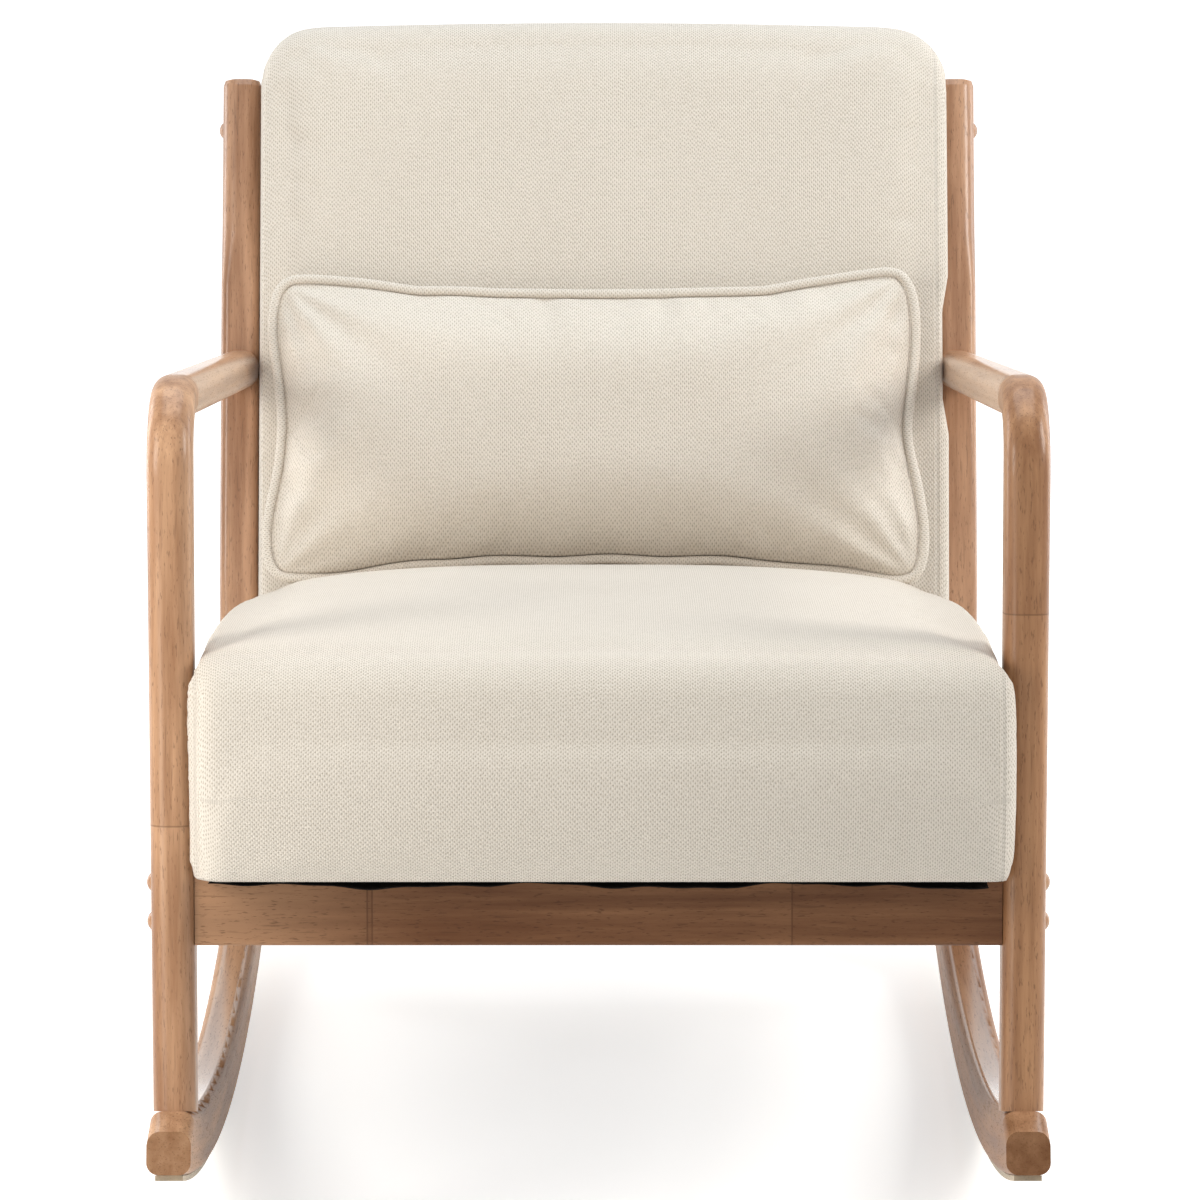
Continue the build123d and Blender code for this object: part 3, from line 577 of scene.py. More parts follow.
def puff(piece, pressure, cap, held=None):
    """Cloth under inner pressure for a few frames; the travel of each of its points."""
    scene = bpy.context.scene
    before = points_of(piece.data)
    cloth = piece.modifiers.new("Puff", "CLOTH")
    settings = cloth.settings
    settings.quality = 4
    settings.mass = 0.3
    settings.tension_stiffness = 15
    settings.compression_stiffness = 15
    settings.shear_stiffness = 5
    settings.bending_stiffness = 0.4
    settings.use_pressure = True
    settings.uniform_pressure_force = pressure
    settings.effector_weights.gravity = 0
    cloth.collision_settings.use_self_collision = False
    if held is not None:
        group = piece.vertex_groups.new(name="held")
        group.add([int(index) for index in np.nonzero(held)[0]], 1.0, "REPLACE")
        settings.vertex_group_mass = "held"
    cloth.point_cache.frame_start = 1
    cloth.point_cache.frame_end = PUFF_FRAMES
    for step in range(1, PUFF_FRAMES + 1):
        scene.frame_set(step)
    after = points_of(evaluated(piece).data)
    piece.modifiers.clear()
    piece.vertex_groups.clear()
    scene.frame_set(1)
    travel = after - before
    length = np.linalg.norm(travel, axis=1, keepdims=True)
    return travel * np.minimum(1.0, cap / np.maximum(length, 1e-9))


def wrap_uv(mesh, across, upwards, sides):
    """UVs in metres: across and upwards on the main faces, sides on the end faces."""
    layer = mesh.uv_layers.new(name="Weave")
    corner_vertex = np.zeros(len(mesh.loops), int)
    mesh.loops.foreach_get("vertex_index", corner_vertex)
    normals = vectors(mesh.polygons, "normal")
    totals = np.zeros(len(mesh.polygons), int)
    mesh.polygons.foreach_get("loop_total", totals)
    end_face = np.repeat(np.abs(normals[:, 0]) > END_FACE_TURN, totals)
    flat = np.stack([across, upwards], 1)[corner_vertex]
    uv = np.where(end_face[:, None], sides[corner_vertex], flat)
    layer.data.foreach_set("uv", uv.astype(np.float32).ravel())


def upholster(name, built, cap, held_rule, keep_clear, material):
    """A cushion: remeshed evenly, puffed as cloth, kept clear of the frame and subdivided."""
    mesh = bpy.data.meshes.new(name)
    built.to_mesh(mesh)
    built.free()
    piece = new_piece(name, mesh, material)
    remesh = piece.modifiers.new("Even", "REMESH")
    remesh.mode = "VOXEL"
    remesh.voxel_size = looks().voxel
    bake(piece)
    held = held_rule(to_square(points_of(piece.data)))
    normals = normals_of(piece.data)
    travel = puff(piece, pressure=4.0, cap=cap, held=held)
    outwards = np.maximum((travel * normals).sum(1, keepdims=True), 0.0)
    set_points(piece.data, points_of(piece.data) + normals * outwards)
    soften = piece.modifiers.new("Soften", "SMOOTH")
    soften.factor = 0.5
    soften.iterations = 1
    bake(piece)
    mesh = subdivide(piece)
    square = keep_clear(to_square(points_of(mesh) + normals_of(mesh) * COVER_LIFT))
    set_points(mesh, to_rest(square))
    smooth(mesh)
    give(mesh, material)
    return piece, square


def surface_line(piece, starts, direction, lift):
    """Places where rays meet a piece, lifted a little off its surface."""
    tree = BVHTree.FromObject(piece, bpy.context.evaluated_depsgraph_get())
    found = []
    for start in starts:
        place, normal, _, _ = tree.ray_cast(Vector(start), Vector(direction))
        if place is not None:
            found.append(place + normal * lift)
    return found


def stitch_tree(name):
    """Geometry nodes that lay short round stitches along a curve."""
    tree = bpy.data.node_groups.new(name, "GeometryNodeTree")
    face = tree.interface
    face.new_socket("Geometry", in_out="INPUT", socket_type="NodeSocketGeometry")
    for label in ("Pitch", "Length", "Thickness"):
        face.new_socket(label, in_out="INPUT", socket_type="NodeSocketFloat")
    face.new_socket("Geometry", in_out="OUTPUT", socket_type="NodeSocketGeometry")
    make = tree.nodes.new
    link = tree.links.new
    inputs = make("NodeGroupInput").outputs
    result = make("NodeGroupOutput").inputs
    spaced = make("GeometryNodeResampleCurve")
    spaced.mode = "LENGTH"
    tangent = make("GeometryNodeInputTangent")
    turn = make("FunctionNodeAlignRotationToVector")
    turn.axis = "X"
    bead = make("GeometryNodeMeshUVSphere")
    bead.inputs["Segments"].default_value = 6
    bead.inputs["Rings"].default_value = 4
    bead.inputs["Radius"].default_value = 0.5
    size = make("ShaderNodeCombineXYZ")
    shaped = make("GeometryNodeTransform")
    laid = make("GeometryNodeInstanceOnPoints")
    real = make("GeometryNodeRealizeInstances")
    link(inputs["Geometry"], spaced.inputs["Curve"])
    link(inputs["Pitch"], spaced.inputs["Length"])
    link(inputs["Length"], size.inputs[0])
    link(inputs["Thickness"], size.inputs[1])
    link(inputs["Thickness"], size.inputs[2])
    link(bead.outputs["Mesh"], shaped.inputs["Geometry"])
    link(size.outputs[0], shaped.inputs["Scale"])
    link(tangent.outputs[0], turn.inputs["Vector"])
    link(spaced.outputs[0], laid.inputs["Points"])
    link(shaped.outputs[0], laid.inputs["Instance"])
    link(turn.outputs[0], laid.inputs["Rotation"])
    link(laid.outputs[0], real.inputs[0])
    link(real.outputs[0], result["Geometry"])
    return tree


def lay_stitches(name, rows, pitch, length, thickness, material):
    """One plain mesh of stitches along rows of points."""
    curve = bpy.data.curves.new(name, "CURVE")
    curve.dimensions = "3D"
    for row in rows:
        spline = curve.splines.new("POLY")
        spline.points.add(len(row) - 1)
        for point, place in zip(spline.points, row):
            point.co = (*place, 1.0)
    line = bpy.data.objects.new(name + "_line", curve)
    bpy.context.scene.collection.objects.link(line)
    tree = bpy.data.node_groups.get("Stitch row") or stitch_tree("Stitch row")
    stitched = line.modifiers.new("Stitches", "NODES")
    stitched.node_group = tree
    wanted = {"Pitch": pitch, "Length": length, "Thickness": thickness}
    for item in tree.interface.items_tree:
        if item.in_out == "INPUT" and item.name in wanted:
            stitched[item.identifier] = wanted[item.name]
    mesh = bpy.data.meshes.new_from_object(evaluated(line))
    line.modifiers.clear()
    bpy.data.objects.remove(line)
    if not len(mesh.vertices):
        raise RuntimeError("no stitches were laid for " + name)
    smooth(mesh)
    return new_piece(name, mesh, material)


def tube(name, ring, radius, sides, material):
    """A closed round cord along a ring of points, with UVs that follow it."""
    ring = np.asarray(ring, float)
    count = len(ring)
    along = np.roll(ring, -1, 0) - np.roll(ring, 1, 0)
    along /= np.linalg.norm(along, axis=1, keepdims=True)
    middle = ring.mean(0)
    out = ring - middle
    out -= (out * along).sum(1, keepdims=True) * along
    out /= np.linalg.norm(out, axis=1, keepdims=True)
    up = np.cross(along, out)
    steps = np.linalg.norm(np.roll(ring, -1, 0) - ring, axis=1)
    travel = np.concatenate([[0], np.cumsum(steps)])
    angles = np.arange(sides) * 2 * math.pi / sides
    points = [ring + radius * (math.cos(angle) * out + math.sin(angle) * up) for angle in angles]
    points = np.stack(points, 1).reshape(-1, 3)
    faces = []
    uvs = []
    width = 2 * math.pi * radius / sides
    for i in range(count):
        j = (i + 1) % count
        for k in range(sides):
            n = (k + 1) % sides
            faces.append((i * sides + k, j * sides + k, j * sides + n, i * sides + n))
            corners = ((i, k), (i + 1, k), (i + 1, k + 1), (i, k + 1))
            uvs += [(travel[step], turn * width) for step, turn in corners]
    mesh = bpy.data.meshes.new(name)
    mesh.from_pydata(points.tolist(), [], faces)
    layer = mesh.uv_layers.new(name="Weave")
    layer.data.foreach_set("uv", np.asarray(uvs, np.float32).ravel())
    mend(mesh)
    smooth(mesh)
    return new_piece(name, mesh, material)


colour_property = partial(bpy.props.FloatVectorProperty, subtype="COLOR", min=0.0, max=1.0)
length_property = partial(bpy.props.FloatProperty, unit="LENGTH")


class ChairLooks(bpy.types.PropertyGroup):
    """Sizes and colours of the chair's finishes."""

    wood_tone: colour_property(
        name="Wood", description="Light streaks of the frame's wood", default=(0.70, 0.420, 0.245))
    wood_dark: colour_property(
        name="Wood streaks", description="Dark streaks of the frame's wood", default=(0.31, 0.148, 0.070))
    strip_tone: colour_property(
        name="Floor strip", description="Pale wood under the rockers", default=(0.72, 0.60, 0.44))
    cloth_tone: colour_property(
        name="Upholstery", description="Cloth of seat, back and pillow", default=(0.785, 0.722, 0.640))
    weave_across: length_property(
        name="Weave across", description="Width of one standing thread", default=0.00168)
    weave_along: length_property(
        name="Weave along", description="Height of one lying thread", default=0.00196)
    voxel: length_property(
        name="Cushion mesh", description="Mesh size before the cushions are puffed", default=0.006)
    seat_seam: length_property(
        name="Seat seam", description="Seat seams' distance from the middle", default=0.289)
    back_seam: length_property(
        name="Back seam", description="Back seams' distance from the middle", default=0.2855)
    stitch_pitch: length_property(
        name="Stitch pitch", description="Distance from stitch to stitch", default=0.0046)
    piping_radius: length_property(
        name="Piping", description="Radius of the pillow's piping", default=0.0041)


def looks():
    return bpy.context.scene.rocking_chair


def cloth_material(name, seam=None):
    return bpy.data.materials.get(name) or woven(
        name, looks().cloth_tone, looks().weave_across, looks().weave_along, seam)


class CHAIR_OT_frame(bpy.types.Operator):
    """Finishes the wooden frame and the hidden hardware that the CAD made"""

    bl_idname = "chair.frame"
    bl_label = "Wooden frame"

    def execute(self, context):
        tone = tuple(looks().wood_tone)
        dark = tuple(looks().wood_dark)

        def darker(share):
            return [
                tuple(channel * part for channel, part in zip(colour, share)) for colour in (tone, dark)
            ]

        strip_tone = tuple(looks().strip_tone)
        strip_dark = shaded(strip_tone, 0.7)
        leg_left = wood("leg_left_wood", tone, dark, "Z", joints=(0.277,), gloss=0.2)
        # Painted shade: the right leg gets a darker copy of the left leg's wood, standing in for less light
        # on the right.
        leg_right = wood(
            "leg_right_shaded_wood", *darker(LEG_RIGHT_SHADE_SHARE), "Z", seed=2.3, joints=(0.43,), gloss=0.2)
        level = wood("arm_wood", tone, dark, "Y", seed=1.7, gloss=0.7)
        leaning = wood("post_wood", *darker(POST_SHARE), "Z", POST_LEAN, seed=3.1)
        # Rail: a darker stain with painted shade from under the seat, and painted light on its left end.
        crosswise = wood(
            "rail_wood", *darker(RAIL_STAIN_AND_SHADE_SHARE), "X", seed=4.9,
            joints=(-0.1672, -0.1636, 0.14), gloss=0.05, pale=tone)
        bow_left = wood("rocker_left_wood", tone, dark, "Y", bowed=True, seed=6.3, gloss=1.0)
        # Painted shade: the right rocker gets a darker copy of the left rocker's wood.
        bow_right_shaded = wood(
            "rocker_right_shaded_wood", *darker(ROCKER_RIGHT_SHADE_SHARE), "Y", bowed=True, seed=7.1, gloss=1.0)
        strip = wood("strip_wood", strip_tone, strip_dark, "Y", bowed=True, seed=8.2)
        inner = wood("board_wood", (0.55, 0.40, 0.24), (0.38, 0.25, 0.13), "X", seed=9.4)
        zinc = steel("zinc_steel")
        webbing = plain_cloth("strap_webbing", (0.16, 0.12, 0.09), cell=0.003)
        rules = (
            ("rocker_strip", strip), ("rocker_left", bow_left), ("rocker_right", bow_right_shaded),
            ("front_leg_left", leg_left), ("front_leg_right", leg_right), ("front_rail_caps", leg_left),
            ("armrest", level), ("side_rail", level), ("rear_rail_caps", level), ("rear_post", leaning),
            ("back_caps", leaning), ("bolts", zinc), ("nuts", zinc), ("screws", zinc), ("brackets", zinc),
            ("dowels", inner), ("board", inner), ("stile", inner), ("webbing", webbing),
            ("rail", crosswise),
        )
        for name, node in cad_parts.items():
            for word, material in rules:
                if word in name:
                    give(node.data, material)
                    break
        return {"FINISHED"}


class CHAIR_OT_seat(bpy.types.Operator):
    """Makes the seat cushion, wrapped round the front legs"""

    bl_idname = "chair.seat"
    bl_label = "Seat cushion"

    def execute(self, context):
        built = solid_copy("seat_foam", [(0, 0, 0)])
        add_block(built, *SEAT_BASE)

        def held(square):
            return (square[:, 2] < SEAT_HELD_BELOW) & (square[:, 1] > 0.0)

        def keep_clear(square):
            x, y, z = square.T
            rear = ramp(y, *CROWN_ALONG)
            top = ramp(z, *CROWN_UPWARDS)
            z = z + rear * top * (CROWN_RISE - CROWN_FALL * np.abs(x / SEAT_HALF) ** 3)
            wing = ramp(-y, *WING_FORWARDS)
            move = np.where(x < 0, WING_MOVE_LEFT, WING_MOVE_RIGHT)
            moved = x * (1 - WING_NARROWER * wing) + move * wing
            x = np.where(wing > 0, moved, np.clip(x, -SEAT_HALF, SEAT_HALF))
            lowest = np.where(y > LIP_REAR, SEAT_UNDERSIDE, LIP_UNDERSIDE)
            z = np.maximum(z, lowest)
            between = (z < SEAT_UNDERSIDE) & (y > LIP_FACE)
            y = np.where(between, LIP_FACE, y)
            return np.stack([x, y, z], 1)

        material = cloth_material("seat_cloth", looks().seat_seam)
        piece, square = upholster("seat_cushion", built, SEAT_PUFF, held, keep_clear, material)
        sides = np.stack([square[:, 1], square[:, 2]], 1)
        under = np.where(square[:, 2] < SEAT_SIDE_FOLD, -1.0, 1.0)
        front = square[:, 1].min()
        wrap_uv(piece.data, square[:, 0], square[:, 2] + (square[:, 1] - front) * under, sides)
        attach(piece, "chair")
        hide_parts("seat_cover", "seat_foam")
        return {"FINISHED"}


class CHAIR_OT_back(bpy.types.Operator):
    """Makes the back cushion and the flat panel behind it"""

    bl_idname = "chair.back"
    bl_label = "Back cushion"

    def execute(self, context):
        built = solid_copy("back_foam", [(0, 0, 0), BACK_REARWARDS * BACK_THICKER])

        def held(square):
            return to_lean(square)[:, 1] < 0.0

        def keep_clear(square):
            lean = to_lean(square)
            x, forward, along = lean.T
            proud = ramp(forward, *PROUD)
            over_arm = ramp(along, *OVER_ARM)
            under_arm = ramp(-along, *UNDER_ARM)
            off_arm = np.maximum(over_arm, under_arm)
            spread = np.where(x > 0, SPREAD_RIGHT * off_arm, SPREAD_LEFT) * proud
            x = x + np.sign(x) * spread * ramp(np.abs(x), *SPREAD_ACROSS)
            limit = BACK_HALF + spread
            x = np.clip(x, -limit, limit)
            gap = ramp(limit - np.abs(x), 0, EDGE_WIDTH)
            crisp = np.sign(x) * (limit - EDGE_WIDTH * gap**EDGE_POWER) - x
            below_corner = ramp(-along, *BELOW_CORNER)
            x = np.where(gap < 1, x + crisp * below_corner, x)
            along = along - TOP_DROP * ramp(along, *NEAR_TOP)
            return from_lean(np.stack([x, np.maximum(forward, BACK_REAR), along], 1))

        material = cloth_material("back_cloth", looks().back_seam)
        piece, square = upholster("back_cushion", built, BACK_PUFF, held, keep_clear, material)
        lean = to_lean(square)
        wrap_uv(piece.data, lean[:, 0], lean[:, 2] - lean[:, 1], lean[:, 1:])
        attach(piece, "chair")
        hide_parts("back_cover", "back_foam")
        self.rear_panel()
        return {"FINISHED"}

    def rear_panel(self):
        """Flat cloth panel that closes the rear, turned under round its edge."""
        middle = (PANEL_LOW + PANEL_HIGH) / 2
        height = PANEL_HIGH - PANEL_LOW
        sheets = []
        for depth in (PANEL_NEAR, PANEL_FAR):
            for v in np.linspace(-1, 1, PANEL_ROWS):
                for u in np.linspace(-1, 1, PANEL_COLUMNS):
                    rim = max(abs(u), abs(v))
                    turned = depth if rim < PANEL_TURN else (PANEL_NEAR + PANEL_FAR) / 2
                    hem = 0.0
                    if depth == PANEL_FAR:
                        hem = -HEM_HEIGHT * math.exp(-(((rim - HEM_PLACE) / HEM_WIDTH) ** 2))
                    sheets.append((u * PANEL_HALF, turned + hem, middle + v * height / 2))
        faces = grid_faces(PANEL_ROWS, PANEL_COLUMNS, 0)
        faces += grid_faces(PANEL_ROWS, PANEL_COLUMNS, PANEL_ROWS * PANEL_COLUMNS)
        mesh = bpy.data.meshes.new("back_rear_panel")
        mesh.from_pydata(to_rest(from_lean(np.array(sheets))).tolist(), [], faces)
        mend(mesh, merge=True)
        smooth(mesh)
        lean = to_lean(to_square(points_of(mesh)))
        wrap_uv(mesh, lean[:, 0], lean[:, 2], lean[:, 1:])
        panel = new_piece("back_rear_panel", mesh, cloth_material("panel_cloth"))
        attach(panel, "chair")
        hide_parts("back_panel")


class CHAIR_OT_pillow(bpy.types.Operator):
    """Makes the lumbar pillow by inflating two sewn sheets, and its piping"""

    bl_idname = "chair.pillow"
    bl_label = "Lumbar pillow"

    def execute(self, context):
        low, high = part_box("pillow_piping")
        tilt = RECLINE + PILLOW_LEAN
        right = np.array((1.0, 0.0, 0.0))
        up = np.array((0.0, math.sin(tilt), math.cos(tilt)))
        out = np.array((0.0, -math.cos(tilt), math.sin(tilt)))
        middle = np.array((low + high) / 2) - PILLOW_LOWER * up
        points, faces, index = self.sewn_sheets()
        mesh = bpy.data.meshes.new("pillow")
        mesh.from_pydata(points, [], faces)
        flat = points_of(mesh)
        material = cloth_material("pillow_cloth")
        piece = new_piece("pillow", mesh, material)
        shape = flat + puff(piece, pressure=6.0, cap=0.09)
        rim = self.rim_of(index)
        shape = self.gather(self.settle(shape, flat), index, rim)
        place = middle + shape[:, :1] * right + shape[:, 1:2] * up + shape[:, 2:] * out
        ring = place[rim]
        outward = np.cross(np.roll(ring, -1, 0) - np.roll(ring, 1, 0), out)
        outward /= np.linalg.norm(outward, axis=1, keepdims=True)
        set_points(mesh, place)
        mesh = subdivide(piece)
        smooth(mesh)
        give(mesh, material)
        local = points_of(mesh) - middle
        wrap_uv(mesh, local @ right, local @ up, np.stack([local @ out, local @ up], 1))
        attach(piece, "pillow")
        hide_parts("pillow_cover", "pillow_filling")
        radius = looks().piping_radius
        line = ring + outward * radius * PIPING_SEAT
        cord = tube("pillow_piping_cord", line, radius, PIPING_SIDES, cloth_material("piping_cloth"))
        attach(cord, "pillow")
        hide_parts("pillow_piping")
        return {"FINISHED"}

    def key(self, side, r, c):
        """A point's key; the two sheets share the points of their edge."""
        edge = r in (0, PILLOW_ROWS) or c in (0, PILLOW_COLUMNS)
        return (0 if edge else side, r, c)

    def spot(self, r, c):
        """A point's place on the sheet, from -1 to 1 each way."""
        return 2 * c / PILLOW_COLUMNS - 1, 2 * r / PILLOW_ROWS - 1

    def sewn_sheets(self):
        """Two flat sheets with rounded corners, sewn along their edge."""
        points = []
        index = {}
        faces = []
        for side in (1, -1):
            for r in range(PILLOW_ROWS + 1):
                for c in range(PILLOW_COLUMNS + 1):
                    key = self.key(side, r, c)
                    if key in index:
                        continue
                    u, v = self.spot(r, c)
                    round_off = CORNER_CUT * max(0.0, abs(u) + abs(v) - CORNER_REACH) ** 2
                    lens = PILLOW_LENS * (1 - u**6) * (1 - v**6)
                    index[key] = len(points)
                    x = PILLOW_HALF_WIDTH * u * (SHEET_WIDER - round_off)
                    y = PILLOW_HALF_HEIGHT * v * (SHEET_TALLER - round_off)
                    points.append((x, y, side * lens))
        for side in (1, -1):
            for r in range(PILLOW_ROWS):
                for c in range(PILLOW_COLUMNS):
                    corners = ((r, c), (r, c + 1), (r + 1, c + 1), (r + 1, c))
                    quad = [index[self.key(side, *corner)] for corner in corners]
                    faces.append(quad if side == 1 else quad[::-1])
        return points, faces, index

    def rim_of(self, index):
        """The numbers of the seam's points, in order round the pillow."""
        rows = PILLOW_ROWS
        columns = PILLOW_COLUMNS
        rim = [index[(0, 0, c)] for c in range(columns)]
        rim += [index[(0, r, columns)] for r in range(rows)]
        rim += [index[(0, rows, c)] for c in range(columns, 0, -1)]
        rim += [index[(0, r, 0)] for r in range(rows, 0, -1)]
        return rim

    def settle(self, shape, flat):
        """The puffed shape at its real size, sagging as it leans on the back."""
        shape[:, :2] = flat[:, :2] + (shape[:, :2] - flat[:, :2]) * PILLOW_CREEP
        shape[:, 0] *= PILLOW_HALF_WIDTH / np.abs(shape[:, 0]).max()
        shape[:, 1] *= PILLOW_HALF_HEIGHT / np.abs(shape[:, 1]).max()
        forward = shape[:, 2] * PILLOW_FRONT / shape[:, 2].max()
        rearward = shape[:, 2] * -PILLOW_REAR / shape[:, 2].min()
        shape[:, 2] = np.where(shape[:, 2] > 0, forward, rearward)
        u = shape[:, 0] / PILLOW_HALF_WIDTH
        v = shape[:, 1] / PILLOW_HALF_HEIGHT
        upper = np.clip(v, 0, 1)
        lower = np.clip(-v, 0, 1)
        right_share = ramp(u, -0.3, 0.6)
        left_width = LEFT_WIDTH[0] - LEFT_WIDTH[1] * v
        right_width = RIGHT_WIDTH[0] - RIGHT_WIDTH[1] * v
        shape[:, 0] *= left_width * (1 - right_share) + right_width * right_share
        shape[:, 0] -= PILLOW_SLIDE * (v + 1)
        shape[:, 1] += EAR_RISE * (np.clip(u, 0, 1) ** 4 * upper**4)
        shape[:, 1] -= TOP_SAG * upper**3 * (1 - u**2)
        shape[:, 1] += FOOT_WAVE * np.sin(u * 19 + 0.8) * lower**5
        shape[:, 1] += (FOOT_ARCH * (1 - u**2) - FOOT_CORNER_DROP * u**4) * lower**3
        return shape

    def gather(self, shape, index, rim):
        """The shape with an even seam, gathers along it and folds at the corners."""
        rows = PILLOW_ROWS
        columns = PILLOW_COLUMNS
        even = shape[rim]
        for _ in range(RIM_SMOOTHINGS):
            even = (np.roll(even, 1, 0) + even * 2 + np.roll(even, -1, 0)) / 4
        pull = dict(zip(rim, even - shape[rim]))
        steps = np.linalg.norm(np.roll(even, -1, 0) - even, axis=1)
        travel = dict(zip(rim, np.cumsum(steps)))
        top_middle = travel[index[(0, rows, columns // 2)]]
        moved = shape.copy()
        for (side, r, c), number in index.items():
            gaps = {
                index[(0, 0, c)]: r, index[(0, rows, c)]: rows - r,
                index[(0, r, 0)]: c, index[(0, r, columns)]: columns - c,
            }
            nearest = min(gaps, key=gaps.get)
            moved[number] += pull[nearest] * math.exp(-gaps[nearest] / RIM_PULL_REACH)
            reach = gaps[nearest] * GATHER_STEP / GATHER_WIDTH
            place = travel[nearest]
            waves = sum(math.sin(place * pitch + start) for pitch, start in GATHER_WAVES)
            nearness = math.exp(-(((place - top_middle) / GATHER_TOP_WIDTH) ** 2))
            depth = GATHER_DEPTH + GATHER_TOP_DEPTH * nearness
            moved[number][2] += side * depth * waves * reach * math.exp(1 - reach)
            moved[number][2] += side * self.corner_folds(*self.spot(r, c))
        return moved

    def corner_folds(self, u, v):
        """Soft folds that spread from each corner, where the filling pulls the cloth."""
        lift = 0.0
        for across, upwards, count, start in FOLD_CORNERS:
            beside = (1 - across * u) * PILLOW_HALF_WIDTH
            above = (1 - upwards * v) * PILLOW_HALF_HEIGHT
            reach = math.hypot(beside, above) / FOLD_REACH
            turn = math.atan2(above, beside)
            lift += math.sin(turn * count + start) * math.sin(2 * turn) * reach * math.exp(1 - reach)
        return FOLD_DEPTH * lift


class CHAIR_OT_dust_cover(bpy.types.Operator):
    """Makes the black cloth under the seat, which hangs in small waves at the front"""

    bl_idname = "chair.dust_cover"
    bl_label = "Dust cover"

    def execute(self, context):
        points = []
        for x in np.linspace(-DUST_HALF, DUST_HALF, DUST_COLUMNS):
            wave = sum((height * math.sin(x * pitch + start) for height, pitch, start in DUST_WAVES), 0.5)
            for y, z, hang in DUST_PATH:
                points.append((x, y, z - DUST_HANG * hang * max(0.0, wave)))
        faces = grid_faces(DUST_COLUMNS, len(DUST_PATH), 0)
        mesh = bpy.data.meshes.new("dust_cover")
        mesh.from_pydata(to_rest(points).tolist(), [], faces)
        smooth(mesh)
        cover = new_piece("dust_cover", mesh, plain_cloth("dust_cloth", (0.022, 0.018, 0.016), cell=0.0016))
        thick = cover.modifiers.new("Thickness", "SOLIDIFY")
        thick.thickness = 0.0005
        thick.offset = 0.0
        bake(cover)
        smooth(cover.data)
        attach(cover, "chair")
        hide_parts("seat_dust_cover")
        return {"FINISHED"}


class CHAIR_OT_stitches(bpy.types.Operator):
    """Lays the stitches along the seams and the staples under the seat"""

    bl_idname = "chair.stitches"
    bl_label = "Stitches and staples"

    def execute(self, context):
        paint = Paint("seam_thread")
        twist = paint.noise(paint.place(), scale=900.0, detail=2.0)
        tone = paint.mix(twist, (0.66, 0.60, 0.51), (0.80, 0.74, 0.64))
        thread = paint.finish(Base_Color=tone, Roughness=0.8)
        forwards = REST.to_3x3() @ Vector((0, 1, 0))
        rows = []
        for side in (-1, 1):
            x = side * (looks().seat_seam - SEAM_INSET)
            starts = to_rest([(x, RAY_START, z) for z in np.linspace(*SEAT_SEAM_HEIGHTS)])
            rows.append(surface_line(bpy.data.objects["seat_cushion"], starts, forwards, STITCH_LIFT))
        for side in (-1, 1):
            x = side * (looks().back_seam - SEAM_INSET)
            lean = [(x, BACK_RAY_START, along) for along in np.linspace(*BACK_SEAM_HEIGHTS)]
            starts = to_rest(from_lean(np.array(lean)))
            back = bpy.data.objects["back_cushion"]
            rows.append(surface_line(back, starts, BACK_REARWARDS, STITCH_LIFT))
        seams = lay_stitches("seam_stitches", rows, looks().stitch_pitch, *STITCH_SIZES, thread)
        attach(seams, "chair")
        staple_rows = [to_rest([(x, y, STAPLE_HEIGHT) for x, y in line]) for line in STAPLE_LINES]
        wire = steel("staple_wire")
        staples = lay_stitches("dust_cover_staples", staple_rows, *STAPLE_SIZES, wire)
        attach(staples, "chair")
        return {"FINISHED"}


def background_rays(tree):
    """1 for the rays that show the background itself: seen, mirrored or through glass."""
    rays = tree.nodes.new("ShaderNodeLightPath").outputs
    shown = rays["Is Camera Ray"]
    for label in ("Is Glossy Ray", "Is Transmission Ray"):
        larger = tree.nodes.new("ShaderNodeMath")
        larger.operation = "MAXIMUM"
        tree.links.new(shown, larger.inputs[0])
        tree.links.new(rays[label], larger.inputs[1])
        shown = larger.outputs[0]
    return shown


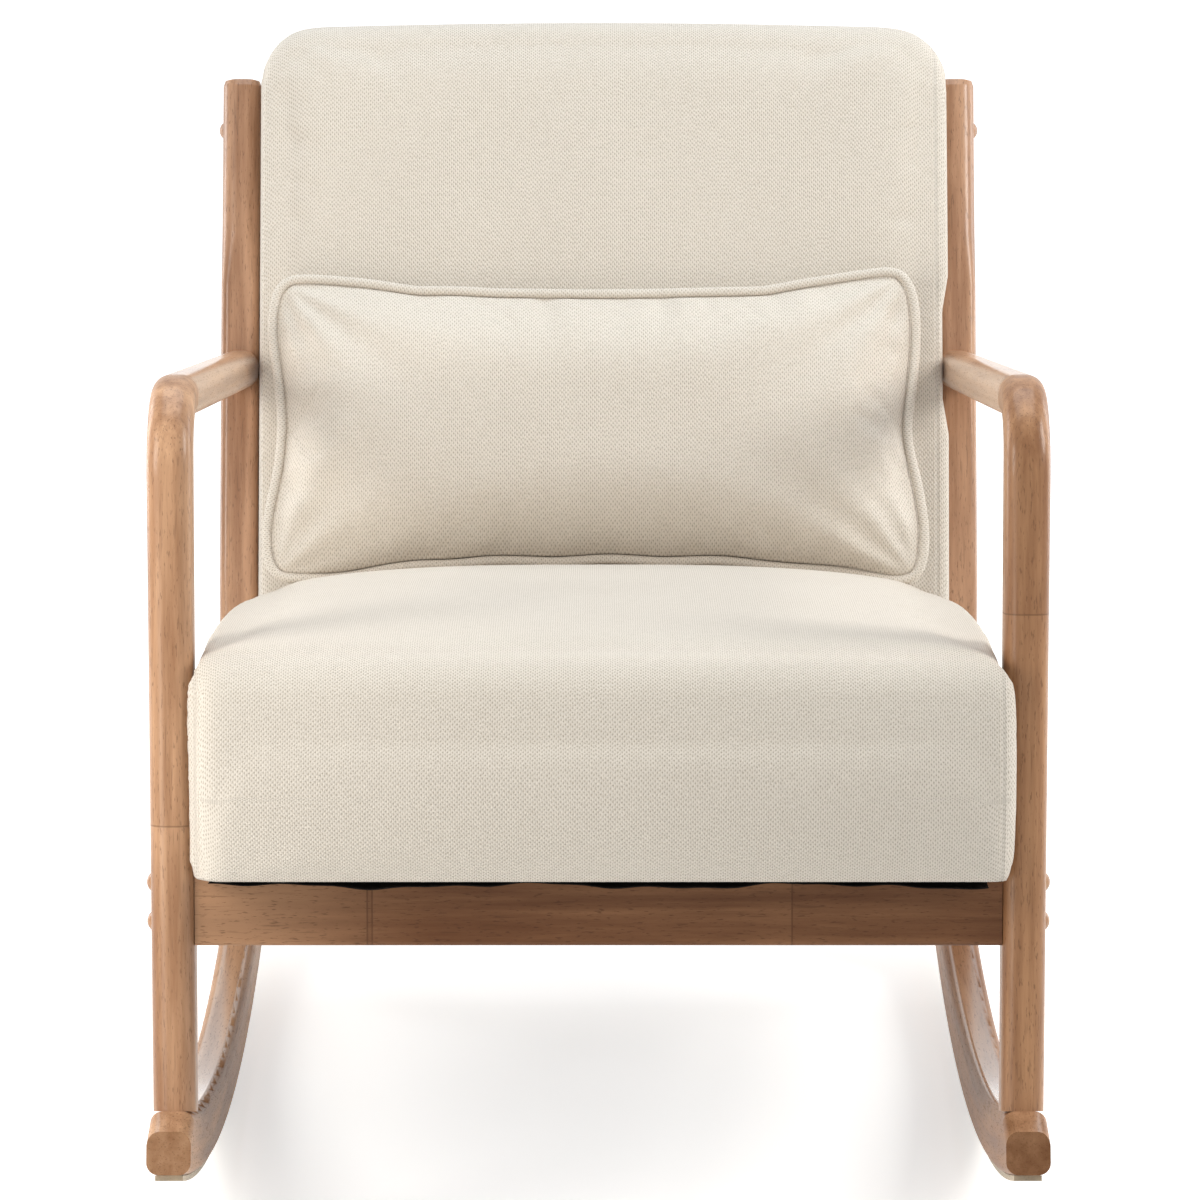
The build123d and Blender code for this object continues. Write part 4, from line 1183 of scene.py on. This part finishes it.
class CHAIR_OT_stage(bpy.types.Operator):
    """Sets the pale floor, the soft studio light and the camera"""

    bl_idname = "chair.stage"
    bl_label = "Stage"

    def lamp(self, name, place, target, size, energy, colour=(1, 1, 1)):
        light = bpy.data.lights.new(name, "AREA")
        light.shape = "RECTANGLE"
        light.size, light.size_y = size
        light.energy = energy
        light.color = colour
        lamp = bpy.data.objects.new(name, light)
        lamp.location = place
        lamp.rotation_euler = (Vector(target) - Vector(place)).to_track_quat("-Z", "Y").to_euler()
        bpy.context.scene.collection.objects.link(lamp)

    def execute(self, context):
        scene = context.scene
        scene.view_settings.view_transform = "Standard"
        mesh = bpy.data.meshes.new("floor")
        mesh.from_pydata(FLOOR_CORNERS, [], [(0, 1, 2, 3)])
        paint = Paint("floor_paint")
        mottle = paint.noise(paint.place(), scale=3.0, detail=2.0)
        tone = paint.mix(mottle, (0.90, 0.90, 0.89), (0.93, 0.93, 0.925))
        _, depth, _ = paint.split(paint.place())
        far = depth.step(*FLOOR_GLOW)
        glow = paint.mix(far, (0.56, 0.56, 0.56), (0.85, 0.85, 0.85))
        seen = background_rays(paint.tree)
        glow = paint.mix(seen, (0, 0, 0), glow)
        floor = new_piece("floor", mesh, paint.finish(
            Base_Color=tone, Roughness=0.9, Emission_Color=glow, Emission_Strength=1.0))
        world = bpy.data.worlds.new("studio")
        world.use_nodes = True
        scene.world = world
        tree = world.node_tree
        back = tree.nodes["Background"]
        strength = tree.nodes.new("ShaderNodeMapRange")
        strength.inputs["To Min"].default_value = WORLD_STRENGTH
        strength.inputs["To Max"].default_value = 1.0
        tree.links.new(background_rays(tree), strength.inputs["Value"])
        tree.links.new(strength.outputs["Result"], back.inputs["Strength"])
        back.inputs["Color"].default_value = (1, 1, 1, 1)
        middle = (0, 0, 0.45)
        self.lamp("side_left", (-1.1, -0.85, 1.0), middle, (0.45, 0.6), 8.5, (1.0, 0.97, 0.92))
        self.lamp("low_left", (-0.95, -1.3, 0.35), (-0.2, 0, 0.35), (0.5, 0.5), 3.6, (1.0, 0.96, 0.90))
        self.lamp("side_right", (1.8, -0.5, 1.5), middle, (0.6, 0.9), 22, (1.0, 0.98, 0.95))
        self.lamp("rim_left", (-2.0, 1.0, 0.8), middle, (0.7, 1.4), 16)
        self.lamp("rim_right", (2.0, 1.0, 0.8), middle, (0.7, 1.4), 12)
        self.lamp("top", (0.0, 0.35, 2.8), middle, (2.0, 2.0), 36, (0.82, 0.915, 1.0))
        camera = bpy.data.cameras.new("camera")
        camera.lens = 140.0
        camera.sensor_width = 36.0
        camera.shift_x = 0.00125
        eye = bpy.data.objects.new("camera", camera)
        eye.location = REST @ Vector(CAMERA_PLACE)
        eye.rotation_euler = (math.radians(90.0 - CAMERA_DIP) - RECLINE, 0, 0)
        scene.collection.objects.link(eye)
        scene.camera = eye
        return {"FINISHED"}


class CHAIR_PT_panel(bpy.types.Panel):
    """Lists the chair's sizes, colours and steps"""

    bl_idname = "CHAIR_PT_panel"
    bl_label = "Rocking chair"
    bl_space_type = "VIEW_3D"
    bl_region_type = "UI"
    bl_category = "Chair"

    def draw(self, context):
        for key in ChairLooks.__annotations__:
            self.layout.prop(looks(), key)
        for step in STEPS:
            self.layout.operator(step.bl_idname)


STEPS = (
    CHAIR_OT_stage, CHAIR_OT_frame, CHAIR_OT_seat, CHAIR_OT_back, CHAIR_OT_pillow, CHAIR_OT_dust_cover,
    CHAIR_OT_stitches,
)
CLASSES = (ChairLooks, *STEPS, CHAIR_PT_panel)


def register():
    for item in CLASSES:
        bpy.utils.register_class(item)
    bpy.types.Scene.rocking_chair = bpy.props.PointerProperty(type=ChairLooks)


def unregister():
    del bpy.types.Scene.rocking_chair
    for item in reversed(CLASSES):
        bpy.utils.unregister_class(item)


def main():
    register()
    bpy.ops.chair.stage()
    bpy.ops.chair.frame()
    bpy.ops.chair.seat()
    bpy.ops.chair.back()
    bpy.ops.chair.pillow()
    bpy.ops.chair.dust_cover()
    bpy.ops.chair.stitches()


if __name__ == "__main__":
    main()
